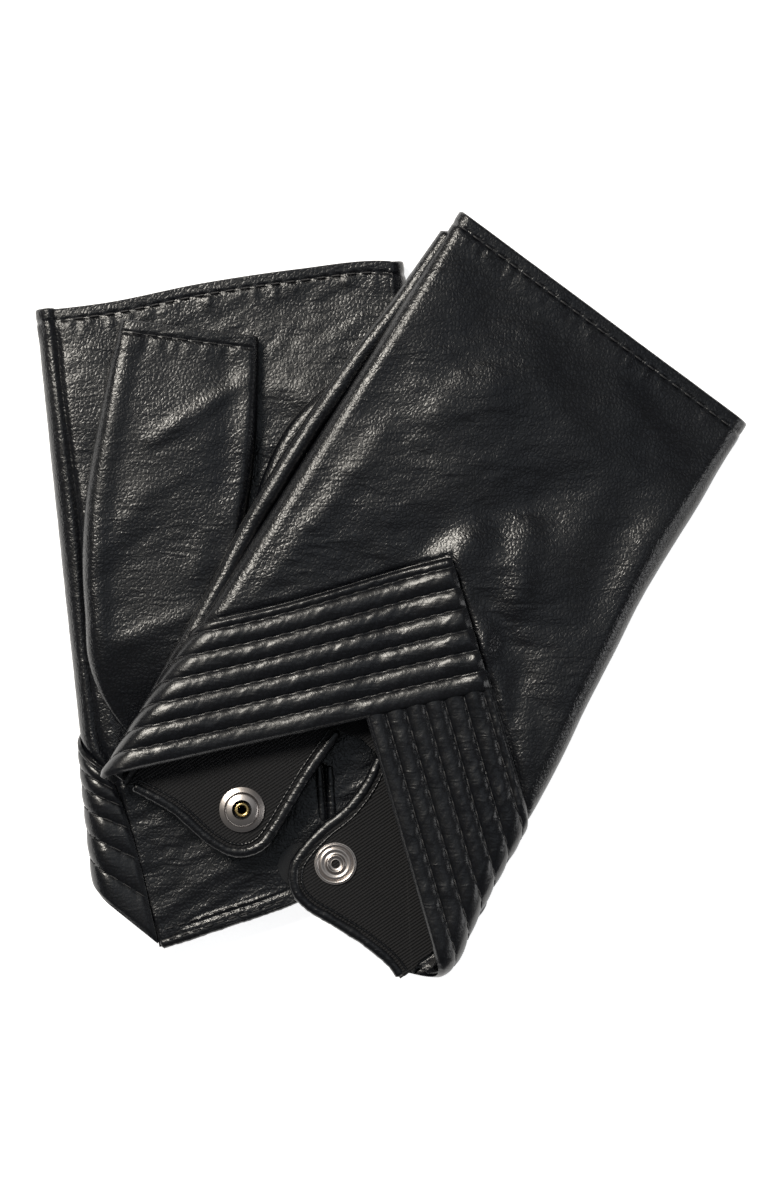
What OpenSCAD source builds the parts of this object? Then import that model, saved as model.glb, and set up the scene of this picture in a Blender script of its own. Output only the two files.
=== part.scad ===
// Pair of fingerless leather gloves: a left glove lying palm up and a right glove lying back up on it.
// Each glove is drawn in its own frame: u across from the thumb side, v from wrist to fingers,
// w from the palm's outer face (0) to the back's outer face (glove_h).

/* [Glove] */
// width of the glove at the finger hem
hem_w = 90; // [78:1:102]
// how much wider the wrist is than the finger hem
wrist_flare = 8.5; // [4:0.5:12]
// length from wrist edge to finger hem along the thumb side
glove_l = 168; // [150:1:190]
// thickness of the glove lying flat
glove_h = 9; // [8.8:0.1:12]
// slant of the finger hem, lower towards the pinky side, in degrees
hem_slant = 4; // [0:0.5:6]
// leather thickness
leather_t = 1; // [0.8:0.1:1.2]
// knit lining thickness
lining_t = 0.55; // [0.4:0.05:0.7]

/* [Thumb] */
// outer width of the thumb tube
thumb_w = 34; // [28:1:35]
// outer thickness of the thumb tube
thumb_h = 6.4; // [6.2:0.1:8]
// length from the thumb's base centre to its hem
thumb_l = 82; // [70:1:90]
// lean of the folded thumb towards the pinky side, in degrees
thumb_lean = 13; // [10:1:16]
// thumb leather thickness
thumb_t = 0.75; // [0.6:0.05:0.8]

/* [Cuff] */
// width of each quilted band
band_w = 32; // [26:0.5:36]
// spacing of the quilting rows
row_gap = 5; // [4:0.25:6]
// length of one stitch and the gap after it
stitch_pitch = 3.9; // [3:0.1:5]
// width of the rolled binding on the flaps
binding_w = 2.3; // [1.8:0.1:2.8]
// how far the lower glove's palm side is rolled towards the pinky side at the wrist
cuff_shift = 16; // [0:1:16]
// gap left along each flap's fold line
fold_gap = 1.1; // [1:0.1:1.5]

/* [Snap] */
// outside diameter of the snap socket
socket_d = 11.4; // [10:0.2:12.5]
// hole in the snap socket
socket_hole_d = 5; // [4.6:0.1:5.6]
// outside diameter of the stud's inner flange
flange_d = 10.6; // [9:0.2:12]
// diameter of the stud's nose, which presses into the socket hole
stud_d = 4.6; // [4:0.1:4.8]
// radial clearance of the rivet shanks in the flaps
shank_gap = 0.05; // [0.02:0.01:0.1]

/* [Hidden] */
$fn = 48;
gap = 0.05;
lie_gap = 0.3;
roll_r = glove_h / 2;
wall_r = roll_r - 0.02;
wall_t = leather_t - 0.04;
back_w = glove_h - leather_t;
pad_top = glove_h - 1.45;
pad_t = 0.75;
lining_top = pad_top - pad_t - gap;
lining_low = leather_t + gap;
roll2_r = (lining_top - lining_low) / 2;
roll2_w = (lining_top + lining_low) / 2;
right_z = glove_h + thumb_h + 2 * lie_gap;
pinky_a = atan(wrist_flare / (glove_l - 5));
flap_t = leather_t + gap + lining_t;
thumb_w0 = -lie_gap - thumb_h / 2;
shank_r = 1.9;

// side and corner positions in the glove's frame
wrist_w = hem_w + wrist_flare;
apex = [48.3, 48];
thumb_a = 44.8;
pinky_dir = -41.6;
// the left glove's palm side is rolled towards the pinky side at the wrist; $cuff is that shift
$cuff = 0;
function slit_l() = 44.5 + $cuff;
function slit_r0() = 52.4 + 0.55 * $cuff;
function slit_r1() = 56.4 + 0.35 * $cuff;
function snap_l() = [34.1 + 1.15 * $cuff, 11.5 + 0.34 * $cuff];
function snap_r() = [61.4 + 0.9 * $cuff, 12.6 - 0.08 * $cuff];
left_base = [20, 73];
left_hole = [20, 73];
right_base = [11, 78];
right_hole = [15.5, 78];

// the two gloves' lies
module lay_left() {
  $cuff = cuff_shift;
  translate([-73.05, -91.25, glove_h]) rotate([0, 0, 6]) mirror([0, 0, 1]) children();
}
module lay_right() {
  translate([-72.15, -45.85, right_z]) rotate([0, 0, -32.3]) children();
}

// a flat layer of the given outline
module layer(w0, t) {
  translate([0, 0, w0]) linear_extrude(t) children();
}

// moves a shape drawn along +v so that it follows the pinky side's centre line
module on_pinky() {
  translate([wrist_w - roll_r, 5, 0]) rotate([0, 0, pinky_a]) children();
}

// half tube along +v, open towards the hand; side is -1 for the thumb side and 1 for the pinky side
module roll(side, r, t, wc, v0, v1) {
  translate([0, v0, wc]) difference() {
    rotate([-90, 0, 0]) cylinder(r = r, h = v1 - v0);
    translate([0, -1, 0]) rotate([-90, 0, 0]) cylinder(r = r - t, h = v1 - v0 + 2);
    translate([side > 0 ? -r - 1 : 0, -1, -r - 1]) cube([r + 1, v1 - v0 + 2, 2 * r + 2]);
  }
}

// everything above the slanted finger hem
module hem_cut(extra = 0) {
  translate([0, glove_l + extra, -20]) rotate([0, 0, -hem_slant]) translate([-20, 0, 0])
    cube([160, 40, 60]);
}

// outline between the two centre lines of the side rolls, grown sideways by g
module core_2d(v0, g = 0) {
  polygon([[roll_r - g, v0], [pinky_u(v0) + g, v0], [pinky_u(glove_l + 5) + g, glove_l + 5],
    [roll_r - g, glove_l + 5]]);
}
function pinky_u(v) = wrist_w - roll_r - (v - 5) * tan(pinky_a);

// outline of the two bands, grown by g towards the smooth panel
far_l = apex + band_w * [-sin(thumb_a), cos(thumb_a)];
lap = band_w / sin(90);
band_end = apex + lap * [cos(thumb_a), sin(thumb_a)];
module band_thumb_2d() {
  polygon([[roll_r, roll_r], apex, band_end, band_end + band_w * [-sin(thumb_a), cos(thumb_a)],
    [roll_r, roll_r + band_w / cos(thumb_a)]]);
}
module band_pinky_2d() {
  intersection() {
    core_2d(3, 0.3);
    translate(apex) rotate(pinky_dir) translate([0.3, 0]) square([70, band_w - 0.4]);
    under_lap_2d();
  }
}
// what lies on the pinky side of the thumb-side band's inner edge
module under_lap_2d() {
  translate(apex) rotate(thumb_a) translate([-20, -80.15]) square([120, 80]);
}
// panel outline above the bands
module back_2d() {
  outer = band_end + band_w * [-sin(thumb_a), cos(thumb_a)];
  polygon([[roll_r - 0.3, roll_r + band_w / cos(thumb_a) + 0.1], outer + [0, 0.4], band_end + [0.4, 0.4],
    [pinky_u(53.9) + 0.3, 53.9], [pinky_u(glove_l + 5) + 0.3, glove_l + 5],
    [roll_r - 0.3, glove_l + 5]]);
}

module back_panel() {
  v_l = roll_r + band_w / cos(thumb_a) + 0.4;
  v_r = 55;
  difference() {
    union() {
      layer(back_w, leather_t) back_2d();
      translate([roll_r, 0, 0]) roll(-1, wall_r, wall_t, roll_r, v_l, glove_l + 5);
      on_pinky() roll(1, wall_r, wall_t, roll_r, v_r - 5, glove_l + 5);
    }
    hem_cut();
    hem_groove(glove_h - 0.35);
  }
}

// shallow groove in which the finger hem's stitches lie
module hem_groove(w0) {
  translate([0, glove_l - 4.2, w0]) rotate([0, 0, -hem_slant]) cube([120, 0.9, 0.5]);
}
module hem_row(w0) {
  translate([0, glove_l - 4.2, w0]) rotate([0, 0, -hem_slant])
    for (i = [0 : floor((hem_w - 14) / stitch_pitch)])
      translate([7 + i * stitch_pitch, 0.2, 0]) cube([stitch_pitch * 0.66, 0.5, 0.3]);
}
module hem_stitches() {
  hem_row(glove_h - 0.35);
  hem_row(0.05);
}

module back_lining() {
  difference() {
    union() {
      layer(lining_top - lining_t + 0.01, lining_t - 0.02) lining_2d();
      translate([roll_r, 0, 0]) roll(-1, roll2_r, lining_t, roll2_w, 9, glove_l + 5);
      on_pinky() roll(1, roll2_r, lining_t, roll2_w, 7, glove_l + 5);
    }
    hem_cut(-6.5);
  }
}
module lining_2d() {
  difference() {
    core_2d(9, 0.2);
    polygon([[-5, -5], apex + [0, -0.2], apex + [70, -62.6], [118, -60], [-5, -60]]);
  }
}

// flaps: fold lines run from the wrist edge to the slit's upper end
function fold_l0() = [10 + $cuff, 0];
function fold_l1() = [44.5 + $cuff, 37.5];
function fold_r0() = [86.5 + 0.2 * $cuff, 0];
function fold_r1() = [56.4 + $cuff, 35.5];
fold_la = atan2(37.5, 34.5);
function fold_ra() = atan2(35.5, -30.1 + 0.8 * $cuff);
corner_l = 9.5;
corner_r = 7;
module socket_flap_2d(g = 0) {
  difference() {
    union() {
      translate([slit_l() - 9.5, 9.5]) circle(r = corner_l - g);
      polygon([[0, g], [slit_l() - 9.5, g], [slit_l() - 9.5, 9.5], [slit_l() - g, 9.5], [slit_l() - g, 45],
        [0, 45]]);
    }
    translate(fold_l0()) rotate(fold_la) translate([-40, -0.15]) square([120, 60]);
  }
}
module stud_flap_2d(g = 0) {
  difference() {
    union() {
      translate([slit_r0() + corner_r, corner_r]) circle(r = corner_r - g);
      polygon([[slit_r0() + g, corner_r], [slit_r0() + corner_r, corner_r], [slit_r0() + corner_r, g], [95, g],
        [95, 36.5], [slit_r1() + g, 36.5], [slit_r0() + g, 14]]);
    }
    translate(fold_r0()) rotate(fold_ra()) translate([-40, -59.85]) square([120, 60]);
  }
}
// both flap regions, grown by the fold gap, and the slit between them
function dir(a) = [cos(a), sin(a)];
function nrm(a) = [-sin(a), cos(a)];
module cuff_cut_2d() {
  top_l = fold_l1() + fold_gap * nrm(fold_la) + dir(fold_la);
  top_r = fold_r1() - fold_gap * nrm(fold_ra()) + dir(fold_ra());
  union() {
    polygon([fold_l0() + fold_gap * nrm(fold_la) - 8 * dir(fold_la), top_l, top_r,
      fold_r0() - fold_gap * nrm(fold_ra()) - 8 * dir(fold_ra())]);
    translate((top_l + top_r) / 2) circle(r = 5);
  }
}

module palm_2d(side_gap) {
  difference() {
    polygon([[roll_r + side_gap, 0], [pinky_u(0) - side_gap, 0],
      [pinky_u(glove_l + 5) - side_gap, glove_l + 5], [roll_r + side_gap, glove_l + 5]]);
    cuff_cut_2d();
  }
}
module palm_panel(hole, hole_r) {
  difference() {
    layer(0, leather_t) palm_2d(0.15);
    hem_cut();
    translate([0, 0, -1]) translate(hole) cylinder(r = hole_r, h = 4);
    hem_groove(-0.15);
  }
}
module palm_lining(hole, hole_r) {
  difference() {
    layer(lining_low, lining_t) palm_2d(0.15);
    hem_cut(-6.5);
    translate([0, 0, -1]) translate(hole) cylinder(r = hole_r, h = 4);
  }
}

// leather turned under at the finger hem, on both panels
module finger_hem() {
  difference() {
    union() {
      layer(lining_low, 0.8) core_2d(glove_l - 30);
      layer(back_w - gap - 0.8, 0.8) core_2d(glove_l - 30);
    }
    hem_cut();
    translate([0, glove_l - 46.2, -1]) rotate([0, 0, -hem_slant]) translate([-20, 0, 0])
      cube([160, 40, 20]);
  }
}

// one row of quilting puffs across the band, as an exact profile
module puffs_2d(n, first) {
  bulge = 0.85;
  r = (row_gap * row_gap / 4 + bulge * bulge) / (2 * bulge);
  union() {
    square([band_w - 0.2, 0.5]);
    intersection() {
      union() {
        for (i = [0 : n - 1]) translate([row_gap * (i + 0.5), 0.55 + bulge - r]) circle(r = r);
        translate([n * row_gap + 0.25, 0.1]) square([first - 0.25, 1.05]);
      }
      translate([0, 0.05]) square([band_w - 0.2, 1.4]);
    }
  }
}
rows = floor((band_w - 1.5) / row_gap);
module puffs(len) {
  rotate([90, 0, 90]) linear_extrude(len) puffs_2d(rows, band_w - 0.2 - rows * row_gap);
}
module band_thumb() {
  v1 = roll_r + band_w / cos(thumb_a);
  intersection() {
    translate([apex[0], apex[1], pad_top + 0.03]) rotate([0, 0, thumb_a]) translate([-75, 0.1, 0])
      puffs(75 + lap - 0.1);
    layer(0, 20) band_thumb_2d();
  }
  translate([roll_r, 0, 0]) roll(-1, wall_r, wall_t, roll_r, 8, v1);
}
module band_pinky() {
  intersection() {
    translate([apex[0], apex[1], pad_top + 0.03]) rotate([0, 0, pinky_dir]) translate([0.3, 0.1, 0])
      puffs(80);
    layer(0, 20) band_pinky_2d();
  }
  on_pinky() roll(1, wall_r, wall_t, roll_r, 2, 49.6);
}
module padding_thumb() {
  layer(pad_top - pad_t, pad_t) intersection() {
    band_thumb_2d();
    core_2d(6);
  }
}
module padding_pinky() {
  layer(pad_top - pad_t, pad_t) intersection() {
    core_2d(5);
    translate(apex) rotate(pinky_dir) translate([0.3, 0.1]) square([70, band_w - 0.6]);
    under_lap_2d();
  }
}

// stitches lying in the valleys between the puffs
module quilt_rows(len0, len1, x0, step) {
  for (r = [1 : rows])
    for (i = [0 : floor((len1 - len0 - (r - 1) * step) / stitch_pitch) - 1])
      translate([x0 + len0 + (r - 1) * step + i * stitch_pitch, r * row_gap - 0.2, 0])
        cube([stitch_pitch * 0.66, 0.4, 0.3]);
}
module band_stitches_thumb() {
  translate([apex[0], apex[1], glove_h - 0.75]) rotate([0, 0, thumb_a]) translate([0, 0.1, 0])
    for (r = [1 : rows])
      for (i = [0 : floor((68 + lap - r * row_gap - 13) / stitch_pitch) - 1])
        translate([lap - 4 - i * stitch_pitch, r * row_gap - 0.2, 0])
          cube([stitch_pitch * 0.66, 0.4, 0.3]);
}
module band_stitches_pinky() {
  translate([apex[0], apex[1], glove_h - 0.75]) rotate([0, 0, pinky_dir]) translate([0, 0.1, 0])
    for (r = [1 : rows])
      for (i = [0 : floor((51 - r * row_gap * 0.95) / stitch_pitch) - 1])
        translate([2 + i * stitch_pitch, r * row_gap - 0.2, 0])
          cube([stitch_pitch * 0.66, 0.4, 0.3]);
}

// slot-shaped profile: width a, height b, inset by c
module slot_2d(a, b, c) {
  union() {
    translate([-(a - b) / 2, -b / 2 + c]) square([a - b, b - 2 * c]);
    translate([-(a - b) / 2, 0]) circle(r = b / 2 - c);
    translate([(a - b) / 2, 0]) circle(r = b / 2 - c);
  }
}
// wall of the thumb tube between insets c0 and c1: straight part and closed round base
module thumb_shell(c0, c1, len) {
  rotate([-90, 0, 0]) linear_extrude(len) difference() {
    slot_2d(thumb_w, thumb_h, c0);
    slot_2d(thumb_w, thumb_h, c1);
  }
  rotate([0, 0, 180]) rotate_extrude(angle = 180) difference() {
    half_slot_2d(c0);
    half_slot_2d(c1);
  }
}
module half_slot_2d(c) {
  union() {
    translate([0, -thumb_h / 2 + c]) square([(thumb_w - thumb_h) / 2, thumb_h - 2 * c]);
    intersection() {
      translate([(thumb_w - thumb_h) / 2, 0]) circle(r = thumb_h / 2 - c);
      translate([(thumb_w - thumb_h) / 2 - 0.5, -thumb_h]) square([thumb_h, 2 * thumb_h]);
    }
  }
}
module on_thumb(base) {
  translate([base[0], base[1], thumb_w0]) rotate([0, 0, -thumb_lean]) children();
}
module thumb(base, hole, hole_r) {
  difference() {
    on_thumb(base) difference() {
      thumb_shell(0, thumb_t, thumb_l);
      translate([-thumb_w / 2 + 5, thumb_l - 3.4, -thumb_h / 2 - 0.2]) cube([thumb_w - 10, 0.9, 0.45]);
    }
    translate([hole[0], hole[1], thumb_w0]) cylinder(r = hole_r, h = thumb_h);
  }
}
module thumb_lining(base, hole, hole_r) {
  difference() {
    on_thumb(base) thumb_shell(thumb_t + gap, thumb_t + gap + 0.28, thumb_l - 6);
    translate([hole[0], hole[1], thumb_w0]) cylinder(r = hole_r, h = thumb_h);
  }
}
module thumb_stitches(base) {
  on_thumb(base) for (i = [0 : floor((thumb_w - 12) / stitch_pitch)])
    translate([-thumb_w / 2 + 6 + i * stitch_pitch, thumb_l - 3.2, -thumb_h / 2 - 0.05])
      cube([stitch_pitch * 0.66, 0.5, 0.3]);
}

// socket flap: leather, lining, rolled binding and stitch row
module socket_flap() {
  difference() {
    layer(0, leather_t) socket_flap_2d(binding_w + gap);
    translate([snap_l()[0], snap_l()[1], -1]) cylinder(r = shank_r + shank_gap, h = 4);
    translate([18 + $cuff, binding_w + 1.2, -1]) cube([16, 0.9, 1.35]);
  }
}
module socket_flap_lining() {
  difference() {
    layer(lining_low, lining_t) socket_flap_2d(binding_w + gap);
    translate([snap_l()[0], snap_l()[1], -1]) cylinder(r = shank_r + shank_gap, h = 4);
  }
}
module socket_flap_binding() {
  layer(0, flap_t + 0.3) difference() {
    socket_flap_2d(0);
    socket_flap_2d(binding_w);
  }
}
module socket_flap_stitches() {
  for (i = [0 : 3]) translate([18.5 + $cuff + i * stitch_pitch, binding_w + 1.4, 0.04])
    cube([stitch_pitch * 0.66, 0.5, 0.3]);
}
module stud_flap() {
  difference() {
    layer(0, leather_t) stud_flap_2d(binding_w + gap);
    translate([snap_r()[0], snap_r()[1], -1]) cylinder(r = shank_r + shank_gap, h = 4);
    translate([62 + 0.6 * $cuff, binding_w + 1.2, -1]) cube([13, 0.9, 1.35]);
  }
}
module stud_flap_lining() {
  difference() {
    layer(lining_low, lining_t) stud_flap_2d(binding_w + gap);
    translate([snap_r()[0], snap_r()[1], -1]) cylinder(r = shank_r + shank_gap, h = 4);
  }
}
module stud_flap_binding() {
  layer(0, flap_t + 0.3) difference() {
    stud_flap_2d(0);
    stud_flap_2d(binding_w);
  }
}
module stud_flap_stitches() {
  for (i = [0 : 2]) translate([62.5 + 0.6 * $cuff + i * stitch_pitch, binding_w + 1.4, 0.04])
    cube([stitch_pitch * 0.66, 0.5, 0.3]);
}

// snap: cap with its shank outside, rivet inside the socket, socket on the lining
module snap_cap() {
  translate([snap_l()[0], snap_l()[1], 0]) {
    translate([0, 0, -0.9]) cylinder(r = 5.6, h = 0.85);
    translate([0, 0, -1.4]) cylinder(r = 4.6, h = 0.6);
    translate([0, 0, -0.1]) cylinder(r = shank_r, h = flap_t + 0.1);
  }
}
module snap_rivet() {
  translate([snap_l()[0], snap_l()[1], flap_t]) rotate_extrude()
    translate([1.45, 0.45]) circle(r = 0.4);
}
module snap_socket() {
  h = 1.7;
  translate([snap_l()[0], snap_l()[1], flap_t]) difference() {
    union() {
      cylinder(r = socket_d / 2, h = 0.6);
      cylinder(r = socket_d / 2 - 0.6, h = 1.1);
      rotate_extrude() translate([socket_hole_d / 2 + 1.3, 1.0]) circle(r = 0.7);
      cylinder(r = socket_hole_d / 2 + 1.3, h = h);
    }
    translate([0, 0, -1]) cylinder(r = socket_hole_d / 2, h = 5);
  }
}
module snap_post() {
  translate([snap_r()[0], snap_r()[1], 0]) difference() {
    union() {
      translate([0, 0, flap_t]) cylinder(r = flange_d / 2, h = 0.45);
      translate([0, 0, flap_t]) rotate_extrude() translate([flange_d / 2 - 0.6, 0.45]) circle(r = 0.4);
      translate([0, 0, flap_t]) rotate_extrude() translate([2.1, 0.45]) circle(r = 0.4);
      translate([0, 0, 0.02]) cylinder(r = shank_r, h = flap_t + 0.2);
    }
    translate([0, 0, 0.6]) cylinder(r = 1.1, h = 5);
  }
}
module snap_stud() {
  translate([snap_r()[0], snap_r()[1], 0]) {
    translate([0, 0, -0.85]) cylinder(r = 5, h = 0.8);
    translate([0, 0, -2.7]) cylinder(r = stud_d / 2 - 0.3, h = 2);
    translate([0, 0, -2.5]) cylinder(r = stud_d / 2, h = 0.7);
  }
}

black = [0.05, 0.05, 0.055];
knit = [0.07, 0.07, 0.08];
thread = [0.03, 0.03, 0.035];
nickel = [0.72, 0.71, 0.69];
brass = [0.75, 0.6, 0.3];

module left_back_panel() { color(black) lay_left() back_panel(); }
module left_back_lining() { color(knit) lay_left() back_lining(); }
module left_palm_panel() { color(black) lay_left() palm_panel(left_hole, 11); }
module left_palm_lining() { color(knit) lay_left() palm_lining(left_hole, 11); }
module left_band_thumb_side() { color(black) lay_left() band_thumb(); }
module left_band_pinky_side() { color(black) lay_left() band_pinky(); }
module left_padding_thumb_side() { color(knit) lay_left() padding_thumb(); }
module left_padding_pinky_side() { color(knit) lay_left() padding_pinky(); }
module left_finger_hem() { color(black) lay_left() finger_hem(); }
module left_hem_stitches() { color(thread) lay_left() hem_stitches(); }
module left_band_stitches_thumb_side() { color(thread) lay_left() band_stitches_thumb(); }
module left_band_stitches_pinky_side() { color(thread) lay_left() band_stitches_pinky(); }
module left_thumb() { color(black) lay_left() thumb(left_base, left_hole, 11); }
module left_thumb_lining() { color(knit) lay_left() thumb_lining(left_base, left_hole, 11.2); }
module left_thumb_stitches() { color(thread) lay_left() thumb_stitches(left_base); }
module left_socket_flap() { color(black) lay_left() socket_flap(); }
module left_socket_flap_lining() { color(knit) lay_left() socket_flap_lining(); }
module left_socket_flap_binding() { color(black) lay_left() socket_flap_binding(); }
module left_socket_flap_stitches() { color(thread) lay_left() socket_flap_stitches(); }
module left_snap_cap() { color(nickel) lay_left() snap_cap(); }
module left_snap_rivet() { color(brass) lay_left() snap_rivet(); }
module left_snap_socket() { color(nickel) lay_left() snap_socket(); }
module left_stud_flap() { color(black) lay_left() stud_flap(); }
module left_stud_flap_lining() { color(knit) lay_left() stud_flap_lining(); }
module left_stud_flap_binding() { color(black) lay_left() stud_flap_binding(); }
module left_stud_flap_stitches() { color(thread) lay_left() stud_flap_stitches(); }
module left_snap_post() { color(nickel) lay_left() snap_post(); }
module left_snap_stud() { color(nickel) lay_left() snap_stud(); }
module right_back_panel() { color(black) lay_right() back_panel(); }
module right_back_lining() { color(knit) lay_right() back_lining(); }
module right_palm_panel() { color(black) lay_right() palm_panel(right_hole, 9); }
module right_palm_lining() { color(knit) lay_right() palm_lining(right_hole, 9); }
module right_band_thumb_side() { color(black) lay_right() band_thumb(); }
module right_band_pinky_side() { color(black) lay_right() band_pinky(); }
module right_padding_thumb_side() { color(knit) lay_right() padding_thumb(); }
module right_padding_pinky_side() { color(knit) lay_right() padding_pinky(); }
module right_finger_hem() { color(black) lay_right() finger_hem(); }
module right_hem_stitches() { color(thread) lay_right() hem_stitches(); }
module right_band_stitches_thumb_side() { color(thread) lay_right() band_stitches_thumb(); }
module right_band_stitches_pinky_side() { color(thread) lay_right() band_stitches_pinky(); }
module right_thumb() { color(black) lay_right() thumb(right_base, right_hole, 9); }
module right_thumb_lining() { color(knit) lay_right() thumb_lining(right_base, right_hole, 9.2); }
module right_thumb_stitches() { color(thread) lay_right() thumb_stitches(right_base); }
module right_socket_flap() { color(black) lay_right() socket_flap(); }
module right_socket_flap_lining() { color(knit) lay_right() socket_flap_lining(); }
module right_socket_flap_binding() { color(black) lay_right() socket_flap_binding(); }
module right_socket_flap_stitches() { color(thread) lay_right() socket_flap_stitches(); }
module right_snap_cap() { color(nickel) lay_right() snap_cap(); }
module right_snap_rivet() { color(brass) lay_right() snap_rivet(); }
module right_snap_socket() { color(nickel) lay_right() snap_socket(); }
module right_stud_flap() { color(black) lay_right() stud_flap(); }
module right_stud_flap_lining() { color(knit) lay_right() stud_flap_lining(); }
module right_stud_flap_binding() { color(black) lay_right() stud_flap_binding(); }
module right_stud_flap_stitches() { color(thread) lay_right() stud_flap_stitches(); }
module right_snap_post() { color(nickel) lay_right() snap_post(); }
module right_snap_stud() { color(nickel) lay_right() snap_stud(); }

left_back_panel();
left_back_lining();
left_palm_panel();
left_palm_lining();
left_band_thumb_side();
left_band_pinky_side();
left_padding_thumb_side();
left_padding_pinky_side();
left_finger_hem();
left_hem_stitches();
left_band_stitches_thumb_side();
left_band_stitches_pinky_side();
left_thumb();
left_thumb_lining();
left_thumb_stitches();
left_socket_flap();
left_socket_flap_lining();
left_socket_flap_binding();
left_socket_flap_stitches();
left_snap_cap();
left_snap_rivet();
left_snap_socket();
left_stud_flap();
left_stud_flap_lining();
left_stud_flap_binding();
left_stud_flap_stitches();
left_snap_post();
left_snap_stud();
right_back_panel();
right_back_lining();
right_palm_panel();
right_palm_lining();
right_band_thumb_side();
right_band_pinky_side();
right_padding_thumb_side();
right_padding_pinky_side();
right_finger_hem();
right_hem_stitches();
right_band_stitches_thumb_side();
right_band_stitches_pinky_side();
right_thumb();
right_thumb_lining();
right_thumb_stitches();
right_socket_flap();
right_socket_flap_lining();
right_socket_flap_binding();
right_socket_flap_stitches();
right_snap_cap();
right_snap_rivet();
right_snap_socket();
right_stud_flap();
right_stud_flap_lining();
right_stud_flap_binding();
right_stud_flap_stitches();
right_snap_post();
right_snap_stud();
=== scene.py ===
# Pair of fingerless leather gloves, left palm up below and right back up on top
import math

import bpy
import bmesh
import numpy as np
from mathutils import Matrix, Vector


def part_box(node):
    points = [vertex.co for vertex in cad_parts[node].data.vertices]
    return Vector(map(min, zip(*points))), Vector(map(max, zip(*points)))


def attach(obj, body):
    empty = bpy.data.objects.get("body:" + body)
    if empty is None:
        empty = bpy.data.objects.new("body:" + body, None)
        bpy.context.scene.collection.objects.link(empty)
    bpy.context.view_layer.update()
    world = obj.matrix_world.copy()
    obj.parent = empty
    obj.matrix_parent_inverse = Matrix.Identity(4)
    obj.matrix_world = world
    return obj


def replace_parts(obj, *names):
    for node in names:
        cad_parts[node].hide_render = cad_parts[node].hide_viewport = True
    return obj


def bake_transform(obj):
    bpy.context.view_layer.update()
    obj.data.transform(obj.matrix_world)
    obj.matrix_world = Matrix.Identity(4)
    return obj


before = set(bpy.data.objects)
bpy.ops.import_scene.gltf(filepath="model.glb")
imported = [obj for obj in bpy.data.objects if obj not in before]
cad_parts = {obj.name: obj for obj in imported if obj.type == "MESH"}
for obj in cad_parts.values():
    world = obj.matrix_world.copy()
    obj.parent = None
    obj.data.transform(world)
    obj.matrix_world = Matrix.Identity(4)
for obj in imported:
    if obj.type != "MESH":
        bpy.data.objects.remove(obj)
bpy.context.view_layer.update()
mm = 0.001


# smooth value noise, about -1 to 1
def centre(node):
    low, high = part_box(node)
    return np.array([(a + b) / 2 for a, b in zip(low, high)])


def hashNoise(ix, iy, seed):
    n = np.sin(ix * 127.1 + iy * 311.7 + seed * 74.7) * 43758.5453
    return (n - np.floor(n)) * 2 - 1


def softNoise(x, y, seed=0.0):
    ix, iy = np.floor(x), np.floor(y)
    fx, fy = x - ix, y - iy
    fx, fy = fx * fx * fx * (fx * (fx * 6 - 15) + 10), fy * fy * fy * (fy * (fy * 6 - 15) + 10)
    a, b = hashNoise(ix, iy, seed), hashNoise(ix + 1, iy, seed)
    c, d = hashNoise(ix, iy + 1, seed), hashNoise(ix + 1, iy + 1, seed)
    return (a * (1 - fx) + b * fx) * (1 - fy) + (c * (1 - fx) + d * fx) * fy


# smooth line through (x, y) points
def smooth(lo, hi, x):
    t = np.clip((np.asarray(x, float) - lo) / (hi - lo), 0, 1)
    return t * t * (3 - 2 * t)


def curve(points, x):
    xs = np.array([p[0] for p in points], float)
    ys = np.array([p[1] for p in points], float)
    m = np.gradient(ys, xs)
    x = np.clip(x, xs[0], xs[-1])
    i = np.clip(np.searchsorted(xs, x) - 1, 0, len(xs) - 2)
    h = xs[i + 1] - xs[i]
    t = (x - xs[i]) / h
    return ((2 * t**3 - 3 * t**2 + 1) * ys[i] + (t**3 - 2 * t**2 + t) * h * m[i]
            + (-2 * t**3 + 3 * t**2) * ys[i + 1] + (t**3 - t**2) * h * m[i + 1])


# points on a polyline at shares t of its length, corners slightly rounded
def along(points, t):
    pts = np.array(points, float)
    d = np.r_[0, np.cumsum(np.linalg.norm(np.diff(pts, axis=0), axis=1))]
    d /= d[-1]
    cols = [curve(list(zip(d, pts[:, k])), t) for k in range(pts.shape[1])]
    return np.stack(cols, -1)


# a soft fold along a segment
def crease(u, v, u0, v0, u1, v1, width, depth):
    du, dv = u1 - u0, v1 - v0
    n = du * du + dv * dv
    t = ((u - u0) * du + (v - v0) * dv) / n
    tc = np.clip(t, 0, 1)
    dist = np.hypot(u - u0 - tc * du, v - v0 - tc * dv)
    fade = smooth(-0.25, 0.25, t) * (1 - smooth(0.75, 1.25, t))
    return depth * np.exp(-((dist / width) ** 2)) * fade


# where the snaps sit in each glove's own frame, in millimetres from its wrist corner
snapSet = {"right": {"socket": (34.1, 11.5), "post": (61.4, 12.6)},
           "left": {"socket": (52.5, 16.94), "post": (75.8, 11.32)}}


# the two gloves' own frames, found from the snaps
# how far the upper glove sinks where nothing is under it
def gloveFrame(side):
    (ua, va), (ub, vb) = snapSet[side]["socket"], snapSet[side]["post"]
    a, b = centre(side + "_snap_socket"), centre(side + "_snap_post")
    turn = math.atan2(b[1] - a[1], b[0] - a[0]) - math.atan2(vb - va, ub - ua)
    c, s = math.cos(turn), math.sin(turn)
    x = a[0] / mm - ua * c + va * s
    y = a[1] / mm - ua * s - va * c
    low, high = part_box(side + "_palm_panel")
    z = low[2] / mm if side == "right" else high[2] / mm
    return {"side": side, "x": x, "y": y, "z": z, "c": c, "s": s, "up": 1 if side == "right" else -1}


right, left = gloveFrame("right"), gloveFrame("left")
print("gloves placed", round(right["x"], 2), round(right["y"], 2), round(left["x"], 2), round(left["y"], 2))

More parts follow.
